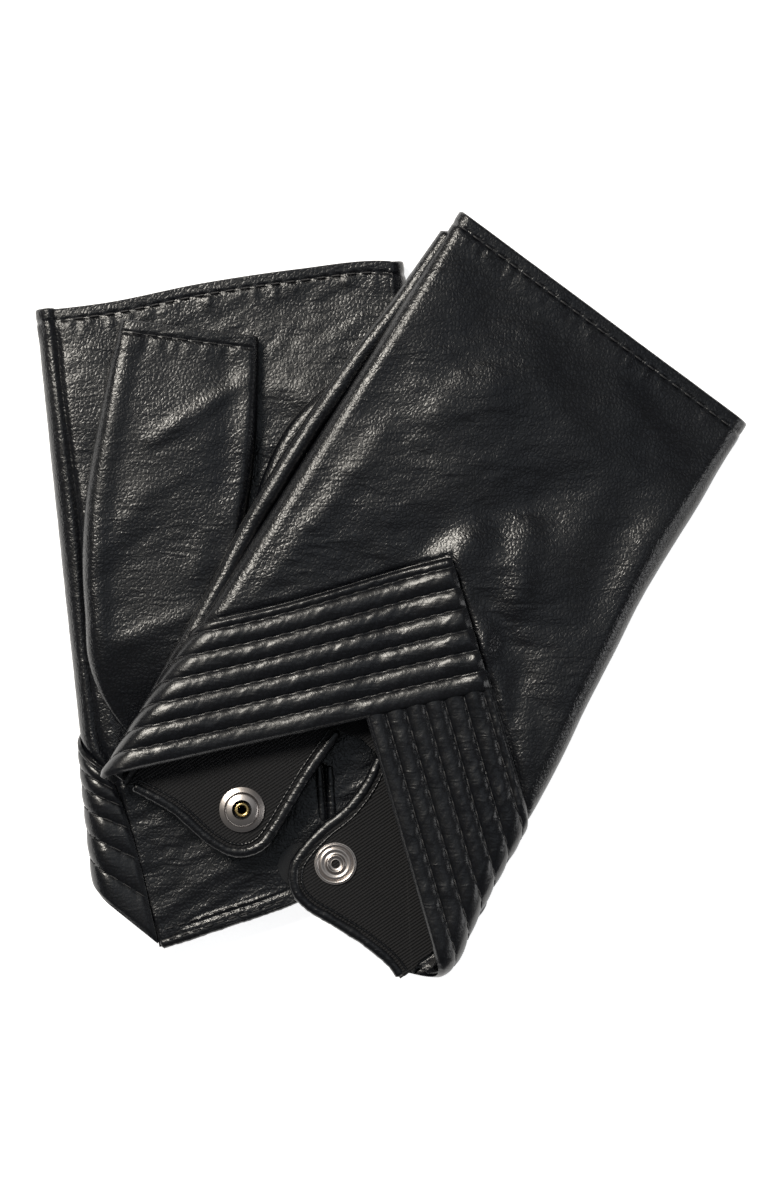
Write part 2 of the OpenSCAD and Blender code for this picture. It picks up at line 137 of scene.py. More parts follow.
drapeSet = {"start": 22.0, "length": 84.0, "drop": 8.5, "turn": math.radians(22)}


def drape(x, y):
    d = x * math.cos(drapeSet["turn"]) + y * math.sin(drapeSet["turn"]) - drapeSet["start"]
    t = np.clip(d / drapeSet["length"], 0, 1)
    return drapeSet["drop"] * t * t * (1.6 - 0.6 * t)


# a sheet of leather or cloth with both faces and a rounded edge
def toWorld(g, p):
    u, v, w = p[..., 0], p[..., 1], p[..., 2]
    x = g["x"] + u * g["c"] - v * g["s"]
    y = g["y"] + u * g["s"] + v * g["c"]
    z = g["z"] + g["up"] * w
    if g["side"] == "right":
        z = z - drape(x, y)
    else:
        z = np.maximum(z, 0.02)
    return np.stack([x, y, z], -1) * mm


def makeObject(name, verts, faces, material, uvs=None):
    mesh = bpy.data.meshes.new(name)
    mesh.from_pydata(verts.reshape(-1, 3).tolist(), [], faces)
    mesh.update()
    bm = bmesh.new()
    bm.from_mesh(mesh)
    bmesh.ops.recalc_face_normals(bm, faces=bm.faces[:])
    bm.to_mesh(mesh)
    bm.free()
    mesh.polygons.foreach_set("use_smooth", [True] * len(mesh.polygons))
    if uvs is not None:
        layer = mesh.uv_layers.new(name="UVMap")
        loops = np.empty(len(mesh.loops), int)
        mesh.loops.foreach_get("vertex_index", loops)
        layer.data.foreach_set("uv", (uvs[loops] * mm * 10).astype(np.float32).ravel())
    mesh.materials.append(material)
    obj = bpy.data.objects.new(name, mesh)
    bpy.context.scene.collection.objects.link(obj)
    return obj


def closedSheet(name, g, outer, inner, material, uv=None, bulge=1.0, crisp=False):
    n, m = outer.shape[:2]
    ids = np.arange(n * m).reshape(n, m)
    ring = np.r_[ids[0, :], ids[1:, -1], ids[-1, -2::-1], ids[-2:0:-1, 0]]
    rows, cols = np.unravel_index(ring, (n, m))
    inRow = np.clip(rows, 1, n - 2)
    inCol = np.clip(cols, 1, m - 2)
    a, b = outer[rows, cols], inner[rows, cols]
    out = a - outer[inRow, inCol]
    t = a - b
    thick = np.linalg.norm(t, axis=-1, keepdims=True) + 1e-9
    tn = t / thick
    out = out - (out * tn).sum(-1, keepdims=True) * tn
    out /= np.linalg.norm(out, axis=-1, keepdims=True) + 1e-9
    mid = (a + b) / 2
    rims = [mid + tn * thick / 2 * math.cos(k) + out * thick / 2 * math.sin(k) * bulge
            for k in (math.pi / 4, math.pi / 2, 3 * math.pi / 4)]
    verts = np.concatenate([outer.reshape(-1, 3), inner.reshape(-1, 3)] + rims)
    a, b, c, d = ids[:-1, :-1], ids[1:, :-1], ids[1:, 1:], ids[:-1, 1:]
    top = np.stack([a, b, c, d], -1).reshape(-1, 4)
    k = n * m
    low = top[:, ::-1] + k
    r = len(ring)
    loops = [ring, 2 * k + np.arange(r), 2 * k + r + np.arange(r), 2 * k + 2 * r + np.arange(r), ring + k]
    sides = []
    for p, q in zip(loops[:-1], loops[1:]):
        sides.append(np.stack([p, np.roll(p, -1), np.roll(q, -1), q], -1))
    faces = np.concatenate([top, low] + sides).tolist()
    if uv is None:
        uv = outer[..., :2]
    uvs = np.concatenate([uv.reshape(-1, 2)] * 2 + [uv[rows, cols]] * 3)
    obj = makeObject(name, toWorld(g, verts), faces, material, uvs)
    if crisp:
        rim = set(int(x) for x in ring)
        for edge in obj.data.edges:
            p, q = edge.vertices
            if (p in rim and q in rim) or (p - k in rim and q - k in rim):
                edge.use_edge_sharp = True
    return obj


# a soft rounded strip along a path; across and up are its half sizes, per point
def sweep(name, g, path, across, up, material, sides=10, closed=False):
    path = np.array(path, float)
    n = len(path)
    t = np.gradient(path, axis=0) if not closed else np.roll(path, -1, 0) - np.roll(path, 1, 0)
    t /= np.linalg.norm(t, axis=1, keepdims=True)
    side = np.stack([t[:, 1], -t[:, 0], np.zeros(n)], -1)
    side /= np.linalg.norm(side, axis=1, keepdims=True) + 1e-9
    upv = np.cross(side, t)
    across, up = np.broadcast_to(across, n)[:, None], np.broadcast_to(up, n)[:, None]
    rings = np.stack([path + side * across * math.cos(2 * math.pi * k / sides)
                      + upv * up * math.sin(2 * math.pi * k / sides) for k in range(sides)], 1)
    verts = rings.reshape(-1, 3)
    faces = []
    last = n if closed else n - 1
    for i in range(last):
        j = (i + 1) % n
        for k in range(sides):
            l = (k + 1) % sides
            faces.append([i * sides + k, i * sides + l, j * sides + l, j * sides + k])
    if not closed:
        tips = path[:1] - t[:1] * across[0] * 0.6, path[-1:] + t[-1:] * across[-1] * 0.6
        verts = np.concatenate([verts, *tips])
        for k in range(sides):
            l = (k + 1) % sides
            faces.append([n * sides, l, k])
            faces.append([n * sides + 1, (n - 1) * sides + k, (n - 1) * sides + l])
    return makeObject(name, toWorld(g, verts), faces, material, verts[:, :2].copy())


# many short threads, each a low round bead between two points
def stitchRow(name, g, starts, ends, radius, material):
    starts, ends = np.array(starts, float), np.array(ends, float)
    ringsAt = (0.0, 0.16, 0.5, 0.84, 1.0)
    sizes = (0.35, 0.85, 1.0, 0.85, 0.35)
    sides = 6
    verts, faces = [], []
    for a, b in zip(starts, ends):
        d = b - a
        length = np.linalg.norm(d)
        if length < 1e-6:
            continue
        d /= length
        s = np.cross(d, (0, 0, 1.0))
        s /= np.linalg.norm(s) + 1e-9
        n = np.cross(s, d)
        base = len(verts)
        for t, k in zip(ringsAt, sizes):
            dip = n * radius * 0.9 * (1 - 4 * t * (1 - t))
            p = a + d * length * t - dip
            for q in range(sides):
                th = 2 * math.pi * q / sides
                verts.append(p + (s * math.cos(th) + n * math.sin(th)) * radius * k)
        for i in range(len(ringsAt) - 1):
            for q in range(sides):
                r = (q + 1) % sides
                faces.append([base + i * sides + q, base + i * sides + r, base + (i + 1) * sides + r,
                              base + (i + 1) * sides + q])
        faces.append([base + q for q in range(sides)][::-1])
        top = base + (len(ringsAt) - 1) * sides
        faces.append([top + q for q in range(sides)])
    verts = np.array(verts)
    return makeObject(name, toWorld(g, verts), faces, material, verts[:, :2].copy())


def group(name, inputs, outputs):
    tree = bpy.data.node_groups.new(name, "ShaderNodeTree")
    for label, value in inputs:
        socket = tree.interface.new_socket(label, in_out="INPUT", socket_type="NodeSocketFloat")
        socket.default_value = value
    tree.interface.new_socket("Vector", in_out="INPUT", socket_type="NodeSocketVector")
    for label in outputs:
        tree.interface.new_socket(label, in_out="OUTPUT", socket_type="NodeSocketFloat")
    return tree, tree.nodes.new("NodeGroupInput"), tree.nodes.new("NodeGroupOutput")


def node(tree, kind, **values):
    n = tree.nodes.new(kind)
    for key, value in values.items():
        if hasattr(n, key):
            setattr(n, key, value)
        else:
            n.inputs[key.replace("_", " ")].default_value = value
    return n


def grainGroup():
    tree, gin, gout = group("leatherGrain", [("Pebble", 820.0), ("Fine", 2600.0)], ["Height", "Patch"])
    link = tree.links.new
    warp = node(tree, "ShaderNodeTexNoise", Scale=420.0, Detail=2.0)
    link(gin.outputs["Vector"], warp.inputs["Vector"])
    shift = node(tree, "ShaderNodeVectorMath", operation="MULTIPLY_ADD")
    link(warp.outputs["Color"], shift.inputs[0])
    shift.inputs[1].default_value = (0.0011, 0.0011, 0.0011)
    link(gin.outputs["Vector"], shift.inputs[2])
    cells = node(tree, "ShaderNodeTexVoronoi", feature="DISTANCE_TO_EDGE")
    link(shift.outputs[0], cells.inputs["Vector"])
    link(gin.outputs["Pebble"], cells.inputs["Scale"])
    pebble = node(tree, "ShaderNodeMapRange", interpolation_type="SMOOTHSTEP")
    link(cells.outputs["Distance"], pebble.inputs["Value"])
    pebble.inputs["From Max"].default_value = 0.32
    small = node(tree, "ShaderNodeTexNoise", Detail=3.0, Roughness=0.6)
    link(gin.outputs["Vector"], small.inputs["Vector"])
    link(gin.outputs["Fine"], small.inputs["Scale"])
    mix = node(tree, "ShaderNodeMath", operation="MULTIPLY_ADD")
    link(small.outputs["Fac"], mix.inputs[0])
    mix.inputs[1].default_value = 0.45
    link(pebble.outputs["Result"], mix.inputs[2])
    link(mix.outputs[0], gout.inputs["Height"])
    patch = node(tree, "ShaderNodeTexNoise", Scale=45.0, Detail=3.0)
    link(gin.outputs["Vector"], patch.inputs["Vector"])
    link(patch.outputs["Fac"], gout.inputs["Patch"])
    return tree


def wrinkleGroup():
    tree, gin, gout = group("leatherWrinkle", [("Scale", 120.0), ("Stretch", 4.0)], ["Height"])
    link = tree.links.new
    stretch = node(tree, "ShaderNodeCombineXYZ", X=1.0, Z=1.0)
    link(gin.outputs["Stretch"], stretch.inputs["Y"])
    mapping = node(tree, "ShaderNodeMapping")
    mapping.inputs["Rotation"].default_value = (0, 0, 0.7)
    link(gin.outputs["Vector"], mapping.inputs["Vector"])
    link(stretch.outputs[0], mapping.inputs["Scale"])
    noise = node(tree, "ShaderNodeTexNoise", Detail=5.0, Roughness=0.55, Distortion=0.6)
    noise.noise_type = "RIDGED_MULTIFRACTAL"
    link(mapping.outputs[0], noise.inputs["Vector"])
    link(gin.outputs["Scale"], noise.inputs["Scale"])
    link(noise.outputs["Fac"], gout.inputs["Height"])
    return tree


def knitGroup():
    tree, gin, gout = group("knitRibs", [("Ribs", 620.0), ("Turn", 0.6)], ["Height", "Fuzz"])
    link = tree.links.new
    turn = node(tree, "ShaderNodeCombineXYZ")
    link(gin.outputs["Turn"], turn.inputs["Z"])
    mapping = node(tree, "ShaderNodeMapping")
    link(gin.outputs["Vector"], mapping.inputs["Vector"])
    link(turn.outputs[0], mapping.inputs["Rotation"])
    ribs = node(tree, "ShaderNodeTexWave", wave_type="BANDS", Distortion=0.9, Detail=2.0)
    ribs.inputs["Detail Scale"].default_value = 3.0
    link(mapping.outputs[0], ribs.inputs["Vector"])
    link(gin.outputs["Ribs"], ribs.inputs["Scale"])
    cross = node(tree, "ShaderNodeTexWave", wave_type="BANDS", bands_direction="Y",
                 Distortion=1.2, Detail=2.0)
    link(mapping.outputs[0], cross.inputs["Vector"])
    link(gin.outputs["Ribs"], cross.inputs["Scale"])
    mix = node(tree, "ShaderNodeMath", operation="MULTIPLY_ADD")
    link(cross.outputs["Fac"], mix.inputs[0])
    mix.inputs[1].default_value = 0.4
    link(ribs.outputs["Fac"], mix.inputs[2])
    link(mix.outputs[0], gout.inputs["Height"])
    fuzz = node(tree, "ShaderNodeTexNoise", Scale=2400.0, Detail=4.0, Roughness=0.7)
    link(gin.outputs["Vector"], fuzz.inputs["Vector"])
    link(fuzz.outputs["Fac"], gout.inputs["Fuzz"])
    return tree


grainTree, wrinkleTree, knitTree = grainGroup(), wrinkleGroup(), knitGroup()


def newMaterial(name):
    mat = bpy.data.materials.new(name)
    mat.use_nodes = True
    tree = mat.node_tree
    return mat, tree, tree.nodes["Principled BSDF"]


def objectCoords(tree):
    c = tree.nodes.new("ShaderNodeTexCoord")
    return c.outputs["Object"]


def leatherMaterial(name, settings):
    mat, tree, skin = newMaterial(name)
    link = tree.links.new
    coords = objectCoords(tree)
    grain = tree.nodes.new("ShaderNodeGroup")
    grain.node_tree = grainTree
    grain.inputs["Pebble"].default_value = settings["pebble"]
    grain.inputs["Fine"].default_value = settings["fine"]
    link(coords, grain.inputs["Vector"])
    wrinkle = tree.nodes.new("ShaderNodeGroup")
    wrinkle.node_tree = wrinkleTree
    wrinkle.inputs["Scale"].default_value = settings["wrinkleScale"]
    link(coords, wrinkle.inputs["Vector"])
    bump1 = node(tree, "ShaderNodeBump", Strength=settings["wrinkle"], Distance=0.0006)
    link(wrinkle.outputs["Height"], bump1.inputs["Height"])
    bump2 = node(tree, "ShaderNodeBump", Strength=settings["grain"], Distance=0.00022)
    link(grain.outputs["Height"], bump2.inputs["Height"])
    link(bump1.outputs[0], bump2.inputs["Normal"])
    link(bump2.outputs[0], skin.inputs["Normal"])
    tone = node(tree, "ShaderNodeMapRange")
    link(grain.outputs["Patch"], tone.inputs["Value"])
    tone.inputs["From Min"].default_value, tone.inputs["From Max"].default_value = 0.3, 0.7
    tone.inputs["To Min"].default_value, tone.inputs["To Max"].default_value = settings["rough"]
    link(tone.outputs[0], skin.inputs["Roughness"])
    shade = node(tree, "ShaderNodeMix", data_type="RGBA")
    link(grain.outputs["Height"], shade.inputs[0])
    shade.inputs[6].default_value = settings["deep"]
    shade.inputs[7].default_value = settings["colour"]
    link(shade.outputs[2], skin.inputs["Base Color"])
    skin.inputs["Specular IOR Level"].default_value = settings["specular"]
    skin.inputs["Coat Weight"].default_value = settings["coat"]
    skin.inputs["Coat Roughness"].default_value = 0.32
    return mat


leatherSet = {"pebble": 980.0, "fine": 3000.0, "wrinkleScale": 120.0, "wrinkle": 0.26, "grain": 0.22,
              "rough": (0.25, 0.36), "specular": 0.5, "coat": 0.05,
              "deep": (0.0012, 0.0013, 0.0020, 1), "colour": (0.0042, 0.0048, 0.0068, 1)}
bandLeatherSet = dict(leatherSet, wrinkle=0.16, wrinkleScale=170.0, grain=0.08, rough=(0.26, 0.36))
edgeLeatherSet = dict(leatherSet, wrinkle=0.22, wrinkleScale=260.0, grain=0.10, rough=(0.26, 0.38))
leather = leatherMaterial("blackLeather", leatherSet)
bandLeather = leatherMaterial("quiltedLeather", bandLeatherSet)
edgeLeather = leatherMaterial("edgeLeather", edgeLeatherSet)


def clothMaterial(name, settings):
    mat, tree, skin = newMaterial(name)
    link = tree.links.new
    uv = tree.nodes.new("ShaderNodeUVMap")
    uv.uv_map = "UVMap"
    scale = node(tree, "ShaderNodeMapping")
    scale.inputs["Scale"].default_value = (0.1, 0.1, 0.1)
    link(uv.outputs[0], scale.inputs["Vector"])
    knit = tree.nodes.new("ShaderNodeGroup")
    knit.node_tree = knitTree
    knit.inputs["Ribs"].default_value = settings["ribs"]
    knit.inputs["Turn"].default_value = settings["turn"]
    link(scale.outputs[0], knit.inputs["Vector"])
    bump = node(tree, "ShaderNodeBump", Strength=0.8, Distance=0.0004)
    link(knit.outputs["Height"], bump.inputs["Height"])
    bump2 = node(tree, "ShaderNodeBump", Strength=0.5, Distance=0.0002)
    link(knit.outputs["Fuzz"], bump2.inputs["Height"])
    link(bump.outputs[0], bump2.inputs["Normal"])
    link(bump2.outputs[0], skin.inputs["Normal"])
    shade = node(tree, "ShaderNodeMix", data_type="RGBA")
    link(knit.outputs["Height"], shade.inputs[0])
    shade.inputs[6].default_value = settings["deep"]
    shade.inputs[7].default_value = settings["colour"]
    link(shade.outputs[2], skin.inputs["Base Color"])
    skin.inputs["Roughness"].default_value = 0.92
    skin.inputs["Sheen Weight"].default_value = settings["sheen"]
    skin.inputs["Sheen Roughness"].default_value = 0.5
    return mat


lining = clothMaterial("knitLining", {"ribs": 430.0, "turn": 0.42, "deep": (0.0015, 0.0015, 0.002, 1),
                                      "colour": (0.011, 0.011, 0.013, 1), "sheen": 0.06})


def threadMaterial():
    mat, tree, skin = newMaterial("blackThread")
    link = tree.links.new
    noise = node(tree, "ShaderNodeTexNoise", Scale=5000.0, Detail=2.0)
    link(objectCoords(tree), noise.inputs["Vector"])
    shade = node(tree, "ShaderNodeMix", data_type="RGBA")
    link(noise.outputs["Fac"], shade.inputs[0])
    shade.inputs[6].default_value = (0.006, 0.006, 0.007, 1)
    shade.inputs[7].default_value = (0.030, 0.030, 0.033, 1)
    link(shade.outputs[2], skin.inputs["Base Color"])
    skin.inputs["Roughness"].default_value = 0.55
    return mat


thread = threadMaterial()


# height of a turned metal disc, from the distance to its axis
def turnedGroup():
    tree, gin, gout = group("turnedDisc", [("Dome", 1.0), ("Rings", 0.0)], ["Height"])
    link = tree.links.new
    flat = node(tree, "ShaderNodeVectorMath", operation="MULTIPLY")
    flat.inputs[1].default_value = (1, 1, 0)
    link(gin.outputs["Vector"], flat.inputs[0])
    radius = node(tree, "ShaderNodeVectorMath", operation="LENGTH")
    link(flat.outputs[0], radius.inputs[0])
    square = node(tree, "ShaderNodeMath", operation="MULTIPLY")
    link(radius.outputs["Value"], square.inputs[0])
    link(radius.outputs["Value"], square.inputs[1])
    dome = node(tree, "ShaderNodeMath", operation="MULTIPLY")
    link(square.outputs[0], dome.inputs[0])
    link(gin.outputs["Dome"], dome.inputs[1])
    phase = node(tree, "ShaderNodeMath", operation="MULTIPLY")
    link(radius.outputs["Value"], phase.inputs[0])
    phase.inputs[1].default_value = 3900.0
    wave = node(tree, "ShaderNodeMath", operation="SINE")
    link(phase.outputs[0], wave.inputs[0])
    rings = node(tree, "ShaderNodeMath", operation="MULTIPLY")
    link(wave.outputs[0], rings.inputs[0])
    link(gin.outputs["Rings"], rings.inputs[1])
    total = node(tree, "ShaderNodeMath", operation="ADD")
    link(dome.outputs[0], total.inputs[0])
    link(rings.outputs[0], total.inputs[1])
    link(total.outputs[0], gout.inputs["Height"])
    return tree


turnedTree = turnedGroup()


def metalMaterial(name, settings, axis):
    mat, tree, skin = newMaterial(name)
    link = tree.links.new
    coords = objectCoords(tree)
    noise = node(tree, "ShaderNodeTexNoise", Scale=700.0, Detail=4.0)
    link(coords, noise.inputs["Vector"])
    shade = node(tree, "ShaderNodeMix", data_type="RGBA")
    link(noise.outputs["Fac"], shade.inputs[0])
    shade.inputs[6].default_value = settings["colour"]
    shade.inputs[7].default_value = settings["dark"]
    link(shade.outputs[2], skin.inputs["Base Color"])
    tone = node(tree, "ShaderNodeMapRange")
    link(noise.outputs["Fac"], tone.inputs["Value"])
    tone.inputs["To Min"].default_value, tone.inputs["To Max"].default_value = settings["rough"]
    link(tone.outputs[0], skin.inputs["Roughness"])
    offset = node(tree, "ShaderNodeVectorMath", operation="SUBTRACT")
    offset.inputs[1].default_value = tuple(axis)
    link(coords, offset.inputs[0])
    turned = tree.nodes.new("ShaderNodeGroup")
    turned.node_tree = turnedTree
    turned.inputs["Dome"].default_value = settings["dome"]
    turned.inputs["Rings"].default_value = settings["rings"]
    link(offset.outputs[0], turned.inputs["Vector"])
    shape = node(tree, "ShaderNodeBump", Strength=1.0, Distance=1.0)
    link(turned.outputs["Height"], shape.inputs["Height"])
    scratches = node(tree, "ShaderNodeTexNoise", Scale=3500.0, Detail=2.0)
    link(coords, scratches.inputs["Vector"])
    bump = node(tree, "ShaderNodeBump", Strength=0.15, Distance=0.00006)
    link(scratches.outputs["Fac"], bump.inputs["Height"])
    link(shape.outputs[0], bump.inputs["Normal"])
    link(bump.outputs[0], skin.inputs["Normal"])
    skin.inputs["Metallic"].default_value = 1.0
    return mat


nickelSet = {"colour": (0.62, 0.57, 0.54, 1), "dark": (0.46, 0.42, 0.40, 1), "rough": (0.26, 0.40),
             "dome": -42.0, "rings": 0.0}
brassSet = {"colour": (0.85, 0.66, 0.30, 1), "dark": (0.66, 0.48, 0.20, 1), "rough": (0.20, 0.32),
            "dome": 0.0, "rings": 0.0}
print("materials ready")


# outline of each glove in its own frame: (along, across) for the pinky edge, (across, along) for the hem
glovePlan = {
    "right": {"pinky": [(-6, 91), (-3.3, 93.1), (3.6, 98.4), (7, 99.6), (10.5, 99.5), (16.6, 98.6),
                        (34.7, 97), (53.3, 96.3), (66.4, 95.3), (80.6, 93.6), (93.8, 92.5),
                        (113, 90.6), (149, 90.3), (169, 89.9)],
              "hem": [(-2, 168.5), (45, 165.2), (97, 161.5)],
              "seam": [(-6, 5), (170, 5)]},
    "left": {"pinky": [(-6, 97), (10, 98.5), (50, 97), (100, 95.5), (150, 94.8), (170, 94.6)],
             "hem": [(0.9, 164.4), (6.7, 164.3), (17, 164.5), (42.8, 166.9), (68.4, 168), (88.9, 167.9),
                     (96, 166.8)],
             "seam": [(-2, 14.8), (0, 14.5), (11.2, 12.3), (28.1, 9.8), (39.7, 8.5), (46.7, 7.3), (54, 4.9),
                      (62, 4.2), (75, 4.0), (88, 4.7), (101, 5.4), (114, 5.5), (140, 4.8), (170, 4.9)]},
}
thickSet = {"back": 9.0, "taper": 2.0, "from": 132.0, "to": 168.0}


def plan(g, v):
    side = glovePlan[g["side"]]
    v = np.asarray(v, float)
    thin = thickSet["taper"] * smooth(thickSet["from"], thickSet["to"], v)
    if g["side"] == "right":
        low, top = 0 * v, thickSet["back"] - thin
    else:
        low, top = thin, thickSet["back"] + 0 * v
    return 0 * v, curve(side["pinky"], v), low, top


# shares from the wrist to the hem, closer together by the hem
def hemShares(n, near):
    k = int(n * 0.36)
    return np.r_[np.linspace(0, near, n - k, endpoint=False), np.linspace(near, 1, k)]


def hemAt(g, u):
    return curve(glovePlan[g["side"]]["hem"], u)


# point on the back's surface, wrapping round both sides; q runs across and past the edges
def shellPoint(g, q, v, h):
    xl, xr, low, top = plan(g, v)
    r = (top - low) / 2
    ql, qr = xl + r, xr - r
    over = np.maximum(ql - q, 0) + np.maximum(q - qr, 0)
    sign = np.where(q < ql, -1.0, 1.0)
    phi = np.minimum(over / r, math.pi)
    past = np.maximum(over - math.pi * r, 0)
    u = np.clip(q, ql, qr) + sign * (r * np.sin(phi) - past)
    w = (low + top) / 2 + r * np.cos(phi)
    return np.stack([u + sign * np.sin(phi) * h, v + 0 * u, w + np.cos(phi) * h], -1)


# how far past the edge the back leather reaches, so that it ends on the palm at the side seam
def seamReach(g, v):
    xl, xr, low, top = plan(g, v)
    r = (top - low) / 2
    u = curve(glovePlan[g["side"]]["seam"], v) - xl
    inside = r * (math.pi - np.arcsin(np.clip((r - u) / r, 0, 1)))
    return xl + r - np.where(u < r, inside, math.pi * r + (u - r))


# the two bands meet in a point; angles in degrees, lengths in millimetres
bandSet = {"apexU": 48.3, "apexV": 48.0, "thumbAngle": 44.8, "pinkyAngle": 41.6, "width": 32.5, "lap": 32,
           "row": 5.0, "puff": 0.95, "base": 0.30, "pitch": 3.9, "leftRaise": 20.2, "leftSpread": 1.13,
           "endSlant": 0.818, "widen": 0.083, "levelled": 0.45}
thumbAngle, pinkyAngle = math.radians(bandSet["thumbAngle"]), math.radians(bandSet["pinkyAngle"])
tanThumb, cosThumb = math.tan(thumbAngle), math.cos(thumbAngle)
tanPinky, cosPinky = math.tan(pinkyAngle), math.cos(pinkyAngle)


# inner edge of the thumb-side band, and its spread along the glove per millimetre across the band
def thumbEdge(g, q):
    v = bandSet["apexV"] + (q - bandSet["apexU"]) * tanThumb
    spread = 1 / cosThumb + 0 * q
    if g["side"] == "left":
        near = 1 - smooth(16, 46, q)
        v = v + bandSet["leftRaise"] * near
        spread = spread * (1 - near) + bandSet["leftSpread"] * near
    return v, spread


def pinkyEdge(q):
    return bandSet["apexV"] - (q - bandSet["apexU"]) * tanPinky, 1 / cosPinky


# soft height of the leather over the hand, with wrinkles; seeds keep the pieces different
def relief(u, v, seed, fine=1.0):
    big = 0.42 * softNoise(u / 26 + 3, v / 31, seed) + 0.22 * softNoise(u / 12, v / 15 + 5, seed + 1)
    mid = 0.11 * softNoise((u + 0.6 * v) / 6.5, (v - 0.5 * u) / 3.2, seed + 2)
    mask = smooth(-0.2, 0.5, softNoise(u / 20, v / 18, seed + 4))
    ridge = 0.075 * (1 - np.abs(softNoise((u + 0.8 * v) / 3.6, (v - 0.7 * u) / 1.7, seed + 3))) * mask
    return big + fine * (mid + ridge)


hemSet = {"fold": 6.0, "raise": 0.20, "row": 2.8, "groove": 0.40, "pitch": 3.9, "thread": 0.28}


def hemLift(dist, u):
    pucker = 0.5 + 0.5 * np.cos(2 * math.pi * u / hemSet["pitch"])
    return (hemSet["raise"] * (1 - smooth(hemSet["fold"] - 1.5, hemSet["fold"] + 3.5, dist))
            - hemSet["groove"] * np.exp(-((dist - hemSet["row"]) / 0.6) ** 2) * (0.35 + 0.65 * pucker)
            + 0.16 * np.exp(-((dist - hemSet["row"] - 1.8) / 2.6) ** 2) * softNoise(u / 1.7, dist / 5, 8.0))


backCreases = {
    "right": [(24, 74, 62, 126, 8.0, -1.1), (89, 112, 92, 142, 6.5, 1.7), (74, 132, 82, 98, 7.0, -0.9),
              (56, 92, 84, 70, 4.5, -0.8), (50, 88, 60, 70, 3.0, 0.6), (30, 150, 58, 132, 7.0, 0.7),
              (62, 84, 70, 62, 3.4, 0.9), (70, 80, 80, 56, 3.6, 0.7), (78, 76, 90, 58, 3.0, 0.5),
              (42, 84, 48, 104, 5.0, 1.3), (30, 84, 36, 92, 4.0, 0.6), (8, 60, 14, 110, 3.4, 0.5),
              (56, 112, 66, 92, 4.2, 0.7), (20, 118, 34, 140, 6.0, 0.6), (58, 150, 80, 146, 5.0, 0.5)],
    "left": [],
}


def backLift(g, q, v):
    lift = relief(q, v, 3.0 if g["side"] == "right" else 17.0)
    for u0, v0, u1, v1, width, depth in backCreases[g["side"]]:
        lift = lift + crease(q, v, u0, v0, u1, v1, width, depth)
    xl, xr, low, top = plan(g, v)
    edge = smooth(0, 9, q - xl - 1) * smooth(0, 9, xr - 1 - q)
    calm = smooth(2, 14, hemAt(g, q) - v)
    return lift * (0.25 + 0.75 * edge) * (0.25 + 0.75 * calm)


# the leather is pulled down where the bands are sewn on to it
def sewnGroove(g, q, v):
    vin, spread = thumbEdge(g, q)
    width = bandSet["width"]
    wide = 1 + bandSet["widen"] * smooth(0.35, 1.0, (q + 8) / 54)
    off = (v - vin - width * spread * wide) * cosThumb
    a = 0.75 * np.exp(-(off / 0.85) ** 2) * (1 - smooth(43, 45, q))
    vout, spreadOut = pinkyEdge(q)
    off = (v - vout - width * spreadOut) * cosPinky
    b = 0.75 * np.exp(-(off / 0.85) ** 2) * smooth(66, 69, q)
    endV = 93.7 - (q - 44.4) * 0.869
    c = 0.75 * np.exp(-((v - endV) * 0.75 / 0.9) ** 2) * smooth(43.5, 45, q) * (1 - smooth(70, 72, q))
    return -np.maximum(np.maximum(a, b), c)


leatherT, liningT = 1.0, 0.55


def backLeather(g):
    n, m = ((270, 250))
    t = hemShares(n, 0.93)[:, None]
    s = np.linspace(0, 1, m)[None, :]
    v = 80 + 0 * s * t
    for step in range(4):
        xl, xr, low, top = plan(g, v)
        r = (top - low) / 2
        q0 = seamReach(g, v)
        q1 = xr - r + math.pi * r + 0.2
        q = q0 + (q1 - q0) * s
        vin, spread = thumbEdge(g, q)
        vout, spreadOut = pinkyEdge(q)
        start = np.where(q < bandSet["apexU"], vin, vout) + 2.2
        start = np.maximum(start, 2.0)
        flat = np.clip(q, 0, xr)
        end = hemAt(g, flat)
        v = start + (end - start) * t
    lift = backLift(g, q, v) + hemLift(end - v, q) + sewnGroove(g, q, v)
    lift = lift - 0.6 * np.exp(-((q - q0) / 0.9) ** 2)
    outer = shellPoint(g, q, v, lift)
    inner = shellPoint(g, q, v, np.minimum(lift - leatherT, -leatherT) + 0 * q)
    piece = closedSheet(g["side"] + "_backLeather", g, outer, inner, leather, np.stack([q, v], -1))
    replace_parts(piece, g["side"] + "_back_panel", g["side"] + "_finger_hem")
    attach(piece, g["side"] + "_glove")
    return piece


def hemRows(g, name):
    pitch, dist = hemSet["pitch"], hemSet["row"]
    xl, xr, low, top = plan(g, 160.0)
    us = np.arange(2.0, float(xr) - 3, pitch)
    starts, ends = [], []
    for u in us:
        for store, uu in ((starts, u), (ends, u + pitch * 0.62)):
            vv = hemAt(g, uu) - dist
            lift = backLift(g, np.array(uu), np.array(vv)) + hemSet["raise"] - 0.02
            store.append(shellPoint(g, np.array(uu), np.array(vv), lift))
    for u in us[2:-1]:
        for store, uu in ((starts, u), (ends, u + pitch * 0.62)):
            vv = hemAt(g, uu) - dist
            lift = palmEndLift(g, np.array(uu), np.array(vv), np.array(vv + dist)) + hemSet["raise"] - 0.02
            store.append(palmPoint(g, np.array(uu), np.array(vv), lift))
    piece = stitchRow(name, g, starts, ends, hemSet["thread"], thread)
    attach(piece, g["side"] + "_glove")
    return piece


